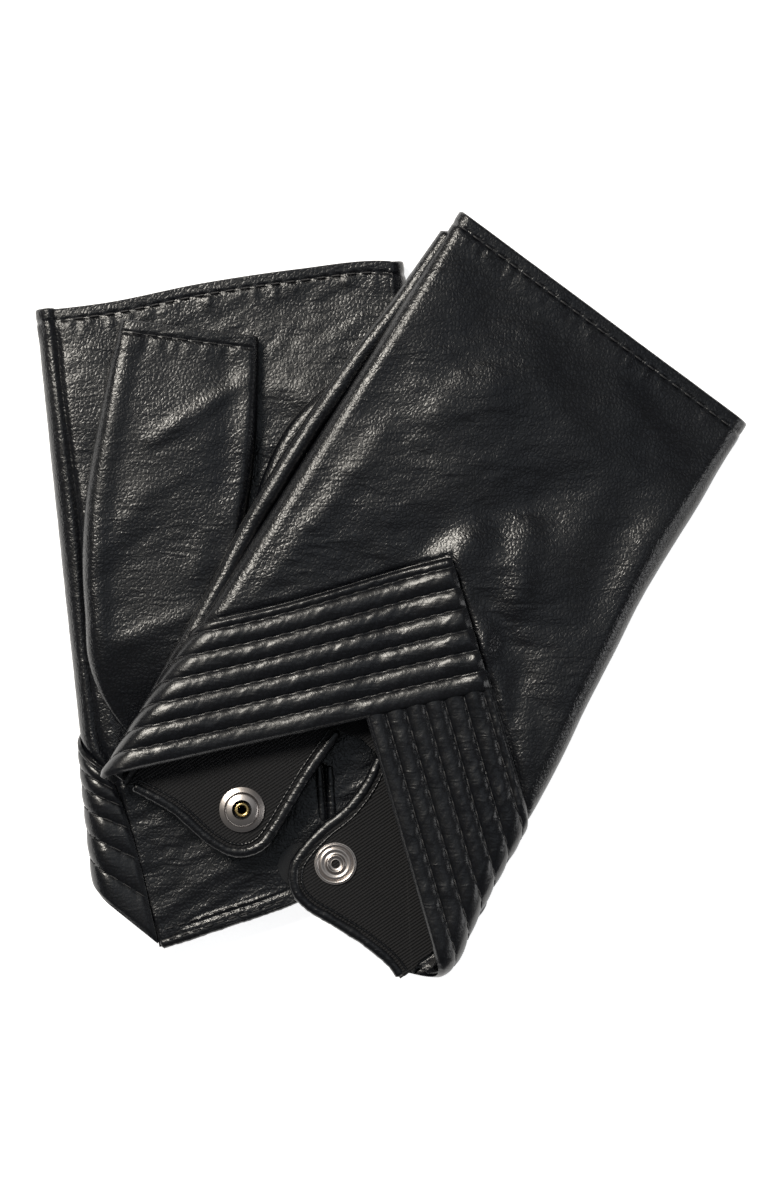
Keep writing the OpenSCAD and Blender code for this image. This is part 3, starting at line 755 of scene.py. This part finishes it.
# height of the quilting across and along a band
def puffHeight(a, c, seed):
    row = bandSet["row"]
    last = c > 6 * row
    phase = np.where(last, (c - 6 * row) / (bandSet["width"] - 6 * row), (c % row) / row)
    top = np.where(last, 0.62, 1.0) * bandSet["puff"]
    h = bandSet["base"] + top * np.abs(np.sin(math.pi * np.clip(phase, 0, 1))) ** 0.52
    toRow = np.abs(c - row * np.clip(np.round(c / row), 1, 6))
    beat = 0.5 + 0.5 * np.cos(2 * math.pi * a / bandSet["pitch"])
    h = h - 0.15 * np.exp(-((toRow / 0.95) ** 2)) * beat
    pull = softNoise(a / 1.9, c / 6.0 + 3, seed) + 0.6 * softNoise(a / 0.95, c / 4.0, seed + 1)
    h = h + 0.055 * pull * (0.4 + 0.6 * np.sin(math.pi * np.clip(phase, 0, 1)))
    return h + 0.14 * softNoise(a / 9.0, c / 7.0, seed + 2)


def thumbBandPoint(g, s, c):
    end = bandSet["apexU"] + bandSet["lap"] * cosThumb - c * bandSet["endSlant"]
    if g["side"] == "right":
        start = np.maximum(-8.5, bandSet["apexU"] - (48.2 + c / cosThumb) / tanThumb)
    else:
        start = -19.5 + 0.257 * c
    q = start + (end - start) * s
    vin, spread = thumbEdge(g, q)
    v = vin + c * spread * (1 + bandSet["widen"] * smooth(0.35, 1.0, s))
    if g["side"] == "left":
        v = v + bandSet["levelled"] * np.maximum(4.5 - q, 0) * np.sin(math.pi * c / bandSet["width"])
    return q, v


def pinkyBandPoint(g, s, c):
    start = bandSet["apexU"] + 0.711 * c - 2.5
    v = 20.0 + 0 * c
    for step in range(5):
        xl, xr, low, top = plan(g, v)
        r = (top - low) / 2
        end = xr - r + math.pi * r + 2
        endV = pinkyEdge(end)[0] + c / cosPinky
        v = np.maximum(endV, -1.0)
    end = np.minimum(end, bandSet["apexU"] + (49 + c / cosPinky) / tanPinky)
    q = start + (end - start) * s
    return q, pinkyEdge(q)[0] + c / cosPinky


def bandHeight(g, kind, q, v, c, s):
    a = (q - bandSet["apexU"]) / (cosThumb if kind == "thumb" else cosPinky)
    seed = (5.0 if kind == "thumb" else 9.0) + (0 if g["side"] == "right" else 20)
    h = puffHeight(a, c, seed)
    lift = backLift(g, q, v) * 0.7
    ends = smooth(0, 0.02, s) * (1 - smooth(0.985, 1.0, s))
    over = 0.55 if kind == "thumb" else 0.0
    over = over * smooth(bandSet["apexU"] - 6, bandSet["apexU"] + 2, q)
    xl, xr, low, top = plan(g, v)
    wrap = np.maximum(smooth(8, 0, q - xl), smooth(10, 1, xr - q))
    h = h * (1 - wrap * 0.45) + wrap * 0.3
    return lift + 0.15 + over + h * (0.55 + 0.45 * ends)


def quiltedBand(g, kind):
    n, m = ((200, 118))
    s = np.linspace(0, 1, n)[:, None] + np.zeros((1, m))
    c = np.linspace(0, bandSet["width"], m)[None, :] + np.zeros((n, 1))
    point = thumbBandPoint if kind == "thumb" else pinkyBandPoint
    q, v = point(g, s, c)
    h = bandHeight(g, kind, q, v, c, s)
    edge = np.minimum(c, bandSet["width"] - c)
    h = h - 0.5 * (1 - smooth(0, 0.9, edge))
    outer = shellPoint(g, q, v, h)
    lap = (0.5 if kind == "thumb" else 0.0) * smooth(bandSet["apexU"] - 6, bandSet["apexU"] + 2, q)
    inner = shellPoint(g, q, v, backLift(g, q, v) * 0.7 + 0.08 + 0 * q + lap)
    piece = closedSheet(f"{g['side']}_{kind}SideBand", g, outer, inner, bandLeather,
                        np.stack([q, v], -1), 0.6)
    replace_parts(piece, f"{g['side']}_band_{kind}_side", f"{g['side']}_padding_{kind}_side")
    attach(piece, g["side"] + "_glove")
    rows = np.arange(1, 7) * bandSet["row"]
    starts, ends = [], []
    for row in rows:
        ss = np.linspace(0.004, 0.985, 2400)
        qq, vv = point(g, ss, row + 0 * ss)
        path = shellPoint(g, qq, vv, bandHeight(g, kind, qq, vv, row + 0 * ss, ss) + 0.22)
        run = np.r_[0, np.cumsum(np.linalg.norm(np.diff(path, axis=0), axis=1))]
        at = np.arange(0.6, run[-1] - bandSet["pitch"], bandSet["pitch"])
        for a in at:
            starts.append([np.interp(a, run, path[:, k]) for k in range(3)])
            ends.append([np.interp(a + bandSet["pitch"] * 0.66, run, path[:, k]) for k in range(3)])
    row = stitchRow(f"{g['side']}_{kind}SideStitches", g, starts, ends, 0.23, thread)
    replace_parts(row, f"{g['side']}_band_stitches_{kind}_side")
    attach(row, g["side"] + "_glove")


for g in (right, left):
    backLeather(g)
    quiltedBand(g, "pinky")
    quiltedBand(g, "thumb")
    print(g["side"], "back and bands done")


# lower edge of the fixed part of the palm, (across, along), and the two flaps hinged to it
cuffSet = {
    "right": {"low": [(2, 0.8), (98, -2.5)],
              "top": [(45.0, 41.7), (50, 43.0), (55.6, 41.7)],
              "socket": {"fold": [(6, 1.0), (14, 11.2), (38.6, 42.9)],
                         "hinge": ((10, 0), (44.5, 37.5)),
                         "edge": [(7.4, 0.9), (18.4, 1.6), (33.5, -0.3), (37, 0.0), (40.2, 1.4),
                                  (42.8, 4.0), (44.2, 7.0), (44.5, 10.5), (44.4, 19), (44.3, 28),
                                  (45.0, 41.5)]},
              "stud": {"fold": [(92, 0.0), (80, 17.0), (62.5, 40.7)],
                       "hinge": ((86.5, 0), (56.4, 35.5)),
                       "edge": [(90.6, -3.6), (87, -2.1), (79.3, -0.9), (68.1, -0.8), (60.5, -0.8),
                                (56.8, 0.3), (53.8, 2.9), (52.1, 6.6), (52.1, 11.5), (53.4, 18.2),
                                (55.9, 25.7), (56.6, 31.6), (56.6, 34.9), (55.6, 41.5)]}},
    "left": {"low": [(13.8, 1.0), (98, 1.0)],
             "top": [(60.8, 42.5), (61.6, 42.1)],
             "socket": {"fold": [(14.6, 1.4), (21, 4.0), (28, 10.5), (54.6, 42.9)],
                        "hinge": ((26, 0), (60.5, 37.5)),
                        "edge": [(14.8, -0.4), (21, 0.9), (33, 3.6), (46, 6.5), (51.6, 8.2),
                                 (56.0, 10.6), (59.0, 14.6), (60.3, 20), (60.5, 30), (60.8, 42.5)]},
             "stud": {"fold": [(95, 3.0), (88, 20.0), (79.6, 39)],
                      "hinge": ((89.7, 0), (72.4, 35.5)),
                      "edge": [(94, 1.0), (88, 0.4), (80, 0.2), (68.5, 0.5), (64.4, 2.4), (62.0, 6.0),
                               (61.1, 11), (60.95, 22), (61.2, 31), (61.6, 42)]}},
}

palmCreases = {
    "left": [(9, 30, 8, 120, 2.2, 0.5), (12, 60, 12.5, 130, 2.6, -0.35), (60, 140, 84, 122, 5.0, 0.7),
             (58, 118, 78, 108, 3.0, -0.5), (60, 98, 74, 90, 4.0, 0.6), (24, 14, 44, 22, 2.5, 0.22),
             (22, 24, 40, 33, 2.2, -0.2)],
    "right": [(20, 60, 60, 110, 6.0, 0.5)],
}


def palmLift(g, u, v):
    side = g["side"]
    lift = relief(u, v, 31.0 if side == "left" else 47.0)
    for u0, v0, u1, v1, width, depth in palmCreases[side]:
        lift = lift + crease(u, v, u0, v0, u1, v1, width, depth)
    if side == "left":
        slant = softNoise((0.9 * v - 0.35 * u) / 1.5, (u + 0.4 * v) / 9.0, 12.0)
        lift = lift + 0.10 * slant * (1 - smooth(35, 60, v))
    for key in ("socket", "post"):
        su, sv = snapSet[side][key]
        lift = lift * smooth(6.5, 12.5, np.hypot(u - su, v - sv))
    xl, xr, low, top = plan(g, v)
    seam = curve(glovePlan[side]["seam"], v)
    lift = lift * (0.3 + 0.7 * smooth(0, 8, xr - 6 - u)) - 0.75 * np.exp(-((u - seam) / 0.9) ** 2)
    return np.maximum(lift, -0.9)


def palmPoint(g, u, v, out):
    xl, xr, low, top = plan(g, v)
    return np.stack([u + 0 * v, v + 0 * u, low - out + 0 * u], -1)


# lower edge of the fixed palm leather, meeting the two flaps along their folds
def palmLow(g, u):
    cuff = cuffSet[g["side"]]
    share = np.linspace(0, 1, 80)
    line = np.concatenate([[cuff["low"][0]], along(cuff["socket"]["fold"], share), cuff["top"],
                           along(cuff["stud"]["fold"], share)[::-1], [cuff["low"][-1]]])
    return np.interp(u, line[:, 0], line[:, 1])


def palmEndLift(g, u, v, end):
    return palmLift(g, u, v) * smooth(2, 12, end - v + 4)


def palmLeather(g):
    n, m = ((270, 230))
    t = hemShares(n, 0.93)[:, None]
    s = np.linspace(0, 1, m)[None, :]
    v = 80 + 0 * s * t
    for step in range(4):
        xl, xr, low, top = plan(g, v)
        u0 = np.maximum(curve(glovePlan[g["side"]]["seam"], v), 2.0)
        u1 = xr - (top - low) / 2 + 0.4
        u = u0 + (u1 - u0) * s
        start = palmLow(g, u)
        end = hemAt(g, u)
        v = start + (end - start) * t
    lift = palmEndLift(g, u, v, end) + hemLift(end - v, u)
    outer = palmPoint(g, u, v, lift)
    inner = palmPoint(g, u, v, lift - leatherT)
    piece = closedSheet(g["side"] + "_palmLeather", g, outer, inner, leather, np.stack([u, v], -1), 0.5, True)
    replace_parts(piece, g["side"] + "_palm_panel")
    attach(piece, g["side"] + "_glove")
    cloth = palmPoint(g, u, np.minimum(v, end - 6.5), -1.1 + 0 * u)
    clothIn = palmPoint(g, u, np.minimum(v, end - 6.5), -1.65 + 0 * u)
    keep = slice(4, -4)
    rows = slice(0, int(n * 0.94))
    inside = closedSheet(g["side"] + "_palmLining", g, cloth[rows, keep], clothIn[rows, keep],
                         lining, None, 0.5)
    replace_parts(inside, g["side"] + "_palm_lining")
    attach(inside, g["side"] + "_glove")


def backLining(g):
    n, m = (110, 120)
    t = np.linspace(0, 1, n)[:, None]
    s = np.linspace(0, 1, m)[None, :]
    v = 80 + 0 * s * t
    for step in range(4):
        xl, xr, low, top = plan(g, v)
        r = (top - low) / 2
        q0, q1 = xl + r - math.pi * r * 0.92, xr - r + math.pi * r * 0.92
        q = q0 + (q1 - q0) * s
        start = np.where(q < bandSet["apexU"], thumbEdge(g, q)[0], pinkyEdge(q)[0]) + 1.0
        start = np.maximum(start, 4.0)
        end = hemAt(g, np.clip(q, 0, xr)) - 6.5
        v = start + (end - start) * t
    wave = 0.12 * softNoise(q / 9, v / 9, 61.0)
    piece = closedSheet(g["side"] + "_backLining", g, shellPoint(g, q, v, wave - 2.3),
                        shellPoint(g, q, v, wave - 2.3 - liningT), lining, np.stack([q, v], -1))
    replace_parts(piece, g["side"] + "_back_lining")
    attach(piece, g["side"] + "_glove")


flapFinish = {"bindAcross": 1.45, "bindUp": 1.12, "line": 3.0, "lineSize": 0.30, "rows": (1.7, 4.3)}


# the free edge moved towards the middle of the flap
def insetPath(edge, centreAt, s, inset):
    path = along(edge, s)
    d = np.gradient(path, axis=0)
    d /= np.linalg.norm(d, axis=1, keepdims=True)
    normal = np.stack([-d[:, 1], d[:, 0]], -1)
    flip = np.sign(((np.array(centreAt) - path) * normal).sum(1))
    return path + normal * np.median(flip) * inset


def cuffFlap(g, kind):
    side = g["side"]
    flap = cuffSet[side][kind]
    snapAt = snapSet[side]["socket" if kind == "socket" else "post"]
    n, m = 110, 80
    s = np.linspace(0, 1, n)
    inner = along(flap["fold"], s)

    def grid(inset):
        edge = insetPath(flap["edge"], snapAt, s, inset)
        t = (1 - np.linspace(1, 0, m) ** 1.7)[None, :, None]
        uv = inner[:, None, :] * (1 - t) + edge[:, None, :] * t
        return uv[..., 0], uv[..., 1], np.linalg.norm(uv - edge[:, None, :], axis=-1)

    u, v, dist = grid(0.4)
    beat = 0.5 + 0.5 * np.cos(2 * math.pi * (u + v) / 3.2)
    across = np.linalg.norm(inner - along(flap["edge"], s), axis=1)
    away = smooth(0.03, 0.12, s)[:, None] * smooth(1.0, 4.0, across)[:, None]
    away = away * (1 - smooth(8, 13, v)) if side == "left" else away
    lift = palmLift(g, u, v) + away * (0.34 * (1 - smooth(4.7, 5.9, dist))
                                       - 0.42 * np.exp(-((dist - 3.9) / 0.6) ** 2) * (0.5 + 0.5 * beat))
    skin = closedSheet(f"{side}_{kind}FlapLeather", g, palmPoint(g, u, v, lift),
                       palmPoint(g, u, v, lift - leatherT), leather, np.stack([u, v], -1), 0.3, True)
    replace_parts(skin, f"{side}_{kind}_flap")
    u, v, dist = grid(1.6)
    wave = 0.16 * softNoise(u / 8, v / 8, 71.0) * smooth(6.5, 11, np.hypot(u - snapAt[0], v - snapAt[1]))
    cloth = closedSheet(f"{side}_{kind}FlapLining", g, palmPoint(g, u, v, wave - 1.05),
                        palmPoint(g, u, v, wave - 1.6), lining, np.stack([u, v], -1), 0.5, True)
    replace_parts(cloth, f"{side}_{kind}_flap_lining")
    trim = np.linspace(0.012, 0.988, 160)
    path = insetPath(flap["edge"], snapAt, trim, 1.0)
    wobble = 0.09 * softNoise(trim * 60, trim * 0, 5.0) + 0.06 * softNoise(trim * 150, trim * 0, 6.0)
    roll = sweep(f"{side}_{kind}FlapBinding", g, np.c_[path, 0.85 + 0 * trim],
                 flapFinish["bindAcross"] + wobble, flapFinish["bindUp"] + 0.6 * wobble, edgeLeather, 14)
    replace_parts(roll, f"{side}_{kind}_flap_binding")
    path = insetPath(flap["edge"], snapAt, trim, flapFinish["line"])
    beads = 0.07 * np.cos(2 * math.pi * trim * 55)
    line = sweep(f"{side}_{kind}FlapSeam", g, np.c_[path, 1.62 + 0 * trim],
                 flapFinish["lineSize"] + beads, flapFinish["lineSize"] + beads, edgeLeather, 8)
    starts, ends = [], []
    for inset in flapFinish["rows"]:
        fine = np.linspace(0.03, 0.97, 1500)
        path = insetPath(flap["edge"], snapAt, fine, inset)
        run = np.r_[0, np.cumsum(np.linalg.norm(np.diff(path, axis=0), axis=1))]
        for a in np.arange(0.5, run[-1] - 3, 3.2):
            for store, at in ((starts, a), (ends, a + 2.2)):
                p = np.array([np.interp(at, run, path[:, k]) for k in range(2)])
                if np.interp(a + 2.2, run, path[:, 1]) > 9.5:
                    continue
                out = float(palmLift(g, p[0], p[1])) + 0.24 if inset > 2.5 else 0.34
                store.append(palmPoint(g, p[0], p[1], out + 0.08))
    row = stitchRow(f"{side}_{kind}FlapStitches", g, starts, ends, 0.23, thread)
    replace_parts(row, f"{side}_{kind}_flap_stitches")
    for piece in (skin, cloth, roll, line, row):
        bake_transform(piece)


thumbSet = {
    "left": {"leftEdge": [(13, 54), (9.5, 59.5), (6.4, 66), (4.5, 75), (4.9, 85), (5.5, 97.7), (7.8, 113.6),
                          (10.3, 124), (13.7, 135.7), (17.5, 148), (21.6, 159.6)],
             "rightEdge": [(22, 54), (31, 59), (38, 66), (43, 75), (45, 85), (46, 95), (48, 105), (51, 117),
                           (52.7, 125), (54.6, 139), (56, 151.4)],
             "thick": 6.2, "seed": 81.0, "gap": 0.3},
    "right": {"leftEdge": [(2, 62), (-2, 70), (-5, 79), (-7, 87), (-8.3, 100), (-6.2, 110.6), (-1.5, 122),
                           (5, 136), (12, 150), (17, 160)],
              "rightEdge": [(14, 58), (24, 66), (28, 78), (28.5, 90), (28, 100), (30, 112), (34, 124),
                            (40, 136), (46, 148), (50, 153)],
              "thick": 5.4, "seed": 91.0, "gap": 1.2},
}


# points round a flattened tube, straight on its two faces and round on its edges
def slotRing(a, b, flat=40, end=18):
    b = np.minimum(b, a)
    half = a - b
    top = np.linspace(-1, 1, flat, endpoint=False)
    arc = np.linspace(0, math.pi, end, endpoint=False)
    x = np.r_[top * half, half + b * np.sin(arc), -top * half, -half - b * np.sin(arc)]
    z = np.r_[b + 0 * top, b * np.cos(arc), -b + 0 * top, -b * np.cos(arc)]
    return x, z


def thumbRings(g, settings, inset, share, n):
    rings = []
    for t in (hemShares(n, 0.9) if share == (0, 1) else np.linspace(share[0], share[1], n)):
        p, q = along(settings["leftEdge"], np.array([t]))[0], along(settings["rightEdge"], np.array([t]))[0]
        a = np.linalg.norm(q - p) / 2
        b = settings["thick"] / 2 * (0.3 + 0.7 * smooth(0, 0.28, t)) * (1 - 0.28 * smooth(0.75, 1.0, t))
        e = (q - p) / (2 * a)
        x, z = slotRing(max(a - inset, 0.5), max(b - inset, 0.18))
        c = (p + q) / 2
        u, v = c[0] + e[0] * x, c[1] + e[1] * x
        far = np.linalg.norm(np.array(settings["leftEdge"][-1]) - np.array(settings["leftEdge"][0]))
        dist = (1 - t) * far
        face = np.clip(z / max(b - inset, 0.18), 0, 1) ** 2
        lift = (relief(u, v, settings["seed"]) * 0.55 + 0.5 * np.exp(-((x + a - 4) / 2.5) ** 2)
                - 0.35 * np.exp(-((x - a + 7) / 3.5) ** 2))
        for u0, v0, u1, v1, width, depth in thumbCreases[g["side"]]:
            lift = lift + crease(u, v, u0, v0, u1, v1, width, depth)
        lift = lift * smooth(0, 0.2, t) * smooth(0, 9, dist + 2) + hemLift(dist, x)
        w = -settings["gap"] - b - z - (face * lift if inset < 0.5 else 0)
        rings.append(np.stack([u, v, w], -1))
    return np.array(rings)


# each crease: across and along at both ends, its width and its depth
thumbCreases = {"left": [(26, 128, 50, 140, 2.4, 0.5), (12, 78, 34, 84, 3.0, 0.5),
                         (34, 92, 44, 112, 4.0, 0.5), (10, 100, 26, 118, 4.0, 0.4),
                         (30, 66, 40, 84, 3.0, -0.4)],
                "right": [(0, 90, 20, 100, 3.0, 0.4)]}


def tube(name, g, outer, inner, material):
    n, m = outer.shape[:2]
    lip = (outer[-1] + inner[-1]) / 2 + (outer[-1] - outer[-2]) / np.linalg.norm(
        outer[-1] - outer[-2], axis=-1, keepdims=True) * 0.4
    rings = np.concatenate([outer, lip[None], inner[::-1]])
    k = len(rings)
    ids = np.arange(k * m).reshape(k, m)
    nxt = np.roll(ids, -1, 1)
    faces = np.stack([ids[:-1], nxt[:-1], nxt[1:], ids[1:]], -1).reshape(-1, 4).tolist()
    verts = np.concatenate([rings.reshape(-1, 3), [outer[0].mean(0)], [inner[0].mean(0)]])
    for i in range(m):
        j = (i + 1) % m
        faces.append([k * m, int(ids[0, j]), int(ids[0, i])])
        faces.append([k * m + 1, int(ids[-1, i]), int(ids[-1, j])])
    return makeObject(name, toWorld(g, verts), faces, material, verts[:, :2].copy())


def thumbPieces(g):
    side = g["side"]
    settings = thumbSet[side]
    n = 190
    skin = tube(side + "_thumbLeather", g, thumbRings(g, settings, 0.0, (0, 1), n),
                thumbRings(g, settings, 1.0, (0.02, 1), n), leather)
    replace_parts(skin, side + "_thumb")
    cloth = tube(side + "_thumbLining", g, thumbRings(g, settings, 1.1, (0.06, 0.93), 60),
                 thumbRings(g, settings, 1.45, (0.07, 0.93), 60), lining)
    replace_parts(cloth, side + "_thumb_lining")
    far = np.linalg.norm(np.array(settings["leftEdge"][-1]) - np.array(settings["leftEdge"][0]))
    share = 1 - hemSet["row"] / far
    ring = thumbRings(g, settings, 0.0, (share, share + 0.001), 2)[0]
    top = ring[:40]
    run = np.r_[0, np.cumsum(np.linalg.norm(np.diff(top, axis=0), axis=1))]
    starts, ends = [], []
    for a in np.arange(1.5, run[-1] - 3, hemSet["pitch"]):
        for store, at in ((starts, a), (ends, a + 2.6)):
            p = np.array([np.interp(at, run, top[:, k]) for k in range(3)])
            store.append(p + (0, 0, -0.22))
    row = stitchRow(side + "_thumbStitches", g, starts, ends, 0.24, thread)
    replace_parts(row, side + "_thumb_stitches")
    for piece in (skin, cloth, row):
        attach(piece, side + "_thumb_tube")


for g in (left, right):
    palmLeather(g)
    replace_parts(hemRows(g, g["side"] + "_hemStitches"), g["side"] + "_hem_stitches")
    backLining(g)
    cuffFlap(g, "socket")
    cuffFlap(g, "stud")
    thumbPieces(g)
    print(g["side"], "palm, flaps and thumb done")


# the rolled palm edge that shows beside the upper glove's thumb edge
rimSet = {"edge": [(8, -0.2), (27.8, -1.7), (54.5, -3.2), (74, -4.8), (89, -5.2), (124, -4.3),
                   (143, -2.5), (153, -2.1), (163, -1.6)],
          "start": 9, "end": 162, "points": 220, "across": 2.3, "up": 2.5, "w": 3.0}
v = np.linspace(rimSet["start"], rimSet["end"], rimSet["points"])
rimAcross = rimSet["across"] * smooth(5, 22, v) + 0.3 + 0.12 * softNoise(v / 5, 0 * v, 14.0)
rimHeight = rimSet["w"] + 0.3 * softNoise(v / 17, 0 * v, 15.0)
rimPath = np.stack([curve(rimSet["edge"], v) + rimAcross, v, rimHeight], -1)
rim = sweep("right_palmEdgeRoll", right, rimPath, rimAcross, rimSet["up"] * smooth(-6, 30, v), leather, 20)
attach(rim, "right_glove")


ringedSet = dict(nickelSet, dome=-14.0, rings=0.00011)


# the snaps keep their exact shapes and only take their metals
enamel, enamelTree, enamelSkin = newMaterial("blackEnamel")
chips = node(enamelTree, "ShaderNodeTexNoise", Scale=1500.0, Detail=3.0)
enamelTree.links.new(objectCoords(enamelTree), chips.inputs["Vector"])
enamelTone = node(enamelTree, "ShaderNodeMapRange")
enamelTone.inputs["To Min"].default_value, enamelTone.inputs["To Max"].default_value = 0.22, 0.34
enamelTree.links.new(chips.outputs["Fac"], enamelTone.inputs["Value"])
enamelTree.links.new(enamelTone.outputs[0], enamelSkin.inputs["Roughness"])
enamelSkin.inputs["Base Color"].default_value = (0.012, 0.012, 0.013, 1)
for side in ("left", "right"):
    socketAxis, postAxis = centre(side + "_snap_socket"), centre(side + "_snap_post")
    metals = {"snap_cap": enamel, "snap_stud": enamel,
              "snap_rivet": metalMaterial(side + "_rolledBrass", brassSet, socketAxis),
              "snap_socket": metalMaterial(side + "_satinNickel", nickelSet, socketAxis),
              "snap_post": metalMaterial(side + "_ringedNickel", ringedSet, postAxis)}
    for name, metal in metals.items():
        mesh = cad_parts[side + "_" + name].data
        mesh.materials.clear()
        mesh.materials.append(metal)
print("snaps done")


stageSet = {"floor": 3.0, "key": 14.0, "fill": 1.0, "rim": 1.4, "world": 0.10, "glow": 0.86}
bpy.ops.mesh.primitive_plane_add(size=stageSet["floor"], location=(0, 0, 0))
floor = bpy.context.object
floor.name = "paleFloor"
floorMat, floorTree, floorSkin = newMaterial("paleFloor")
floorSkin.inputs["Base Color"].default_value = (0.92, 0.92, 0.93, 1)
floorSkin.inputs["Roughness"].default_value = 0.9
floorNoise = node(floorTree, "ShaderNodeTexNoise", Scale=40.0)
floorTree.links.new(objectCoords(floorTree), floorNoise.inputs["Vector"])
floorTone = node(floorTree, "ShaderNodeMapRange")
floorTone.inputs["To Min"].default_value, floorTone.inputs["To Max"].default_value = 0.86, 0.94
floorTree.links.new(floorNoise.outputs["Fac"], floorTone.inputs["Value"])
floorTree.links.new(floorTone.outputs[0], floorSkin.inputs["Roughness"])
floorSkin.inputs["Emission Color"].default_value = (1, 1, 1, 1)
floorSkin.inputs["Emission Strength"].default_value = stageSet["glow"]
floor.data.materials.append(floorMat)


def areaLight(name, place, aim, size, power, colour=(1, 1, 1)):
    data = bpy.data.lights.new(name, "AREA")
    data.shape = "RECTANGLE"
    data.size, data.size_y = size
    data.energy = power
    data.color = colour
    obj = bpy.data.objects.new(name, data)
    obj.location = place
    bpy.context.scene.collection.objects.link(obj)
    d = np.array(aim, float) - np.array(place, float)
    obj.rotation_mode = "QUATERNION"
    obj.rotation_quaternion = Vector(d).to_track_quat("-Z", "Y")


middle = (0, 0, 0)
areaLight("keyUpperLeft", (-0.50, 0.50, 0.92), middle, (0.36, 0.36), stageSet["key"], (1.0, 0.95, 0.86))
areaLight("fillOverhead", (0.1, 0.25, 1.5), middle, (1.0, 1.0), stageSet["fill"], (0.80, 0.90, 1.0))
areaLight("rimRight", (0.8, -0.15, 0.35), middle, (0.4, 0.4), stageSet["rim"])
world = bpy.context.scene.world or bpy.data.worlds.new("studio")
bpy.context.scene.world = world
world.use_nodes = True
world.node_tree.nodes["Background"].inputs["Color"].default_value = (0.95, 0.97, 1.0, 1)
world.node_tree.nodes["Background"].inputs["Strength"].default_value = stageSet["world"]
bpy.context.scene.view_settings.view_transform = "Standard"

cameraSet = {"aim": (0.00025, -0.00085), "height": 1.212, "lens": 142.2, "sensor": 36.0}
camData = bpy.data.cameras.new("viewCamera")
camData.sensor_fit = "VERTICAL"
camData.sensor_height = cameraSet["sensor"]
camData.lens = cameraSet["lens"]
camera = bpy.data.objects.new("viewCamera", camData)
camera.location = (cameraSet["aim"][0], cameraSet["aim"][1], cameraSet["height"])
bpy.context.scene.collection.objects.link(camera)
bpy.context.scene.camera = camera
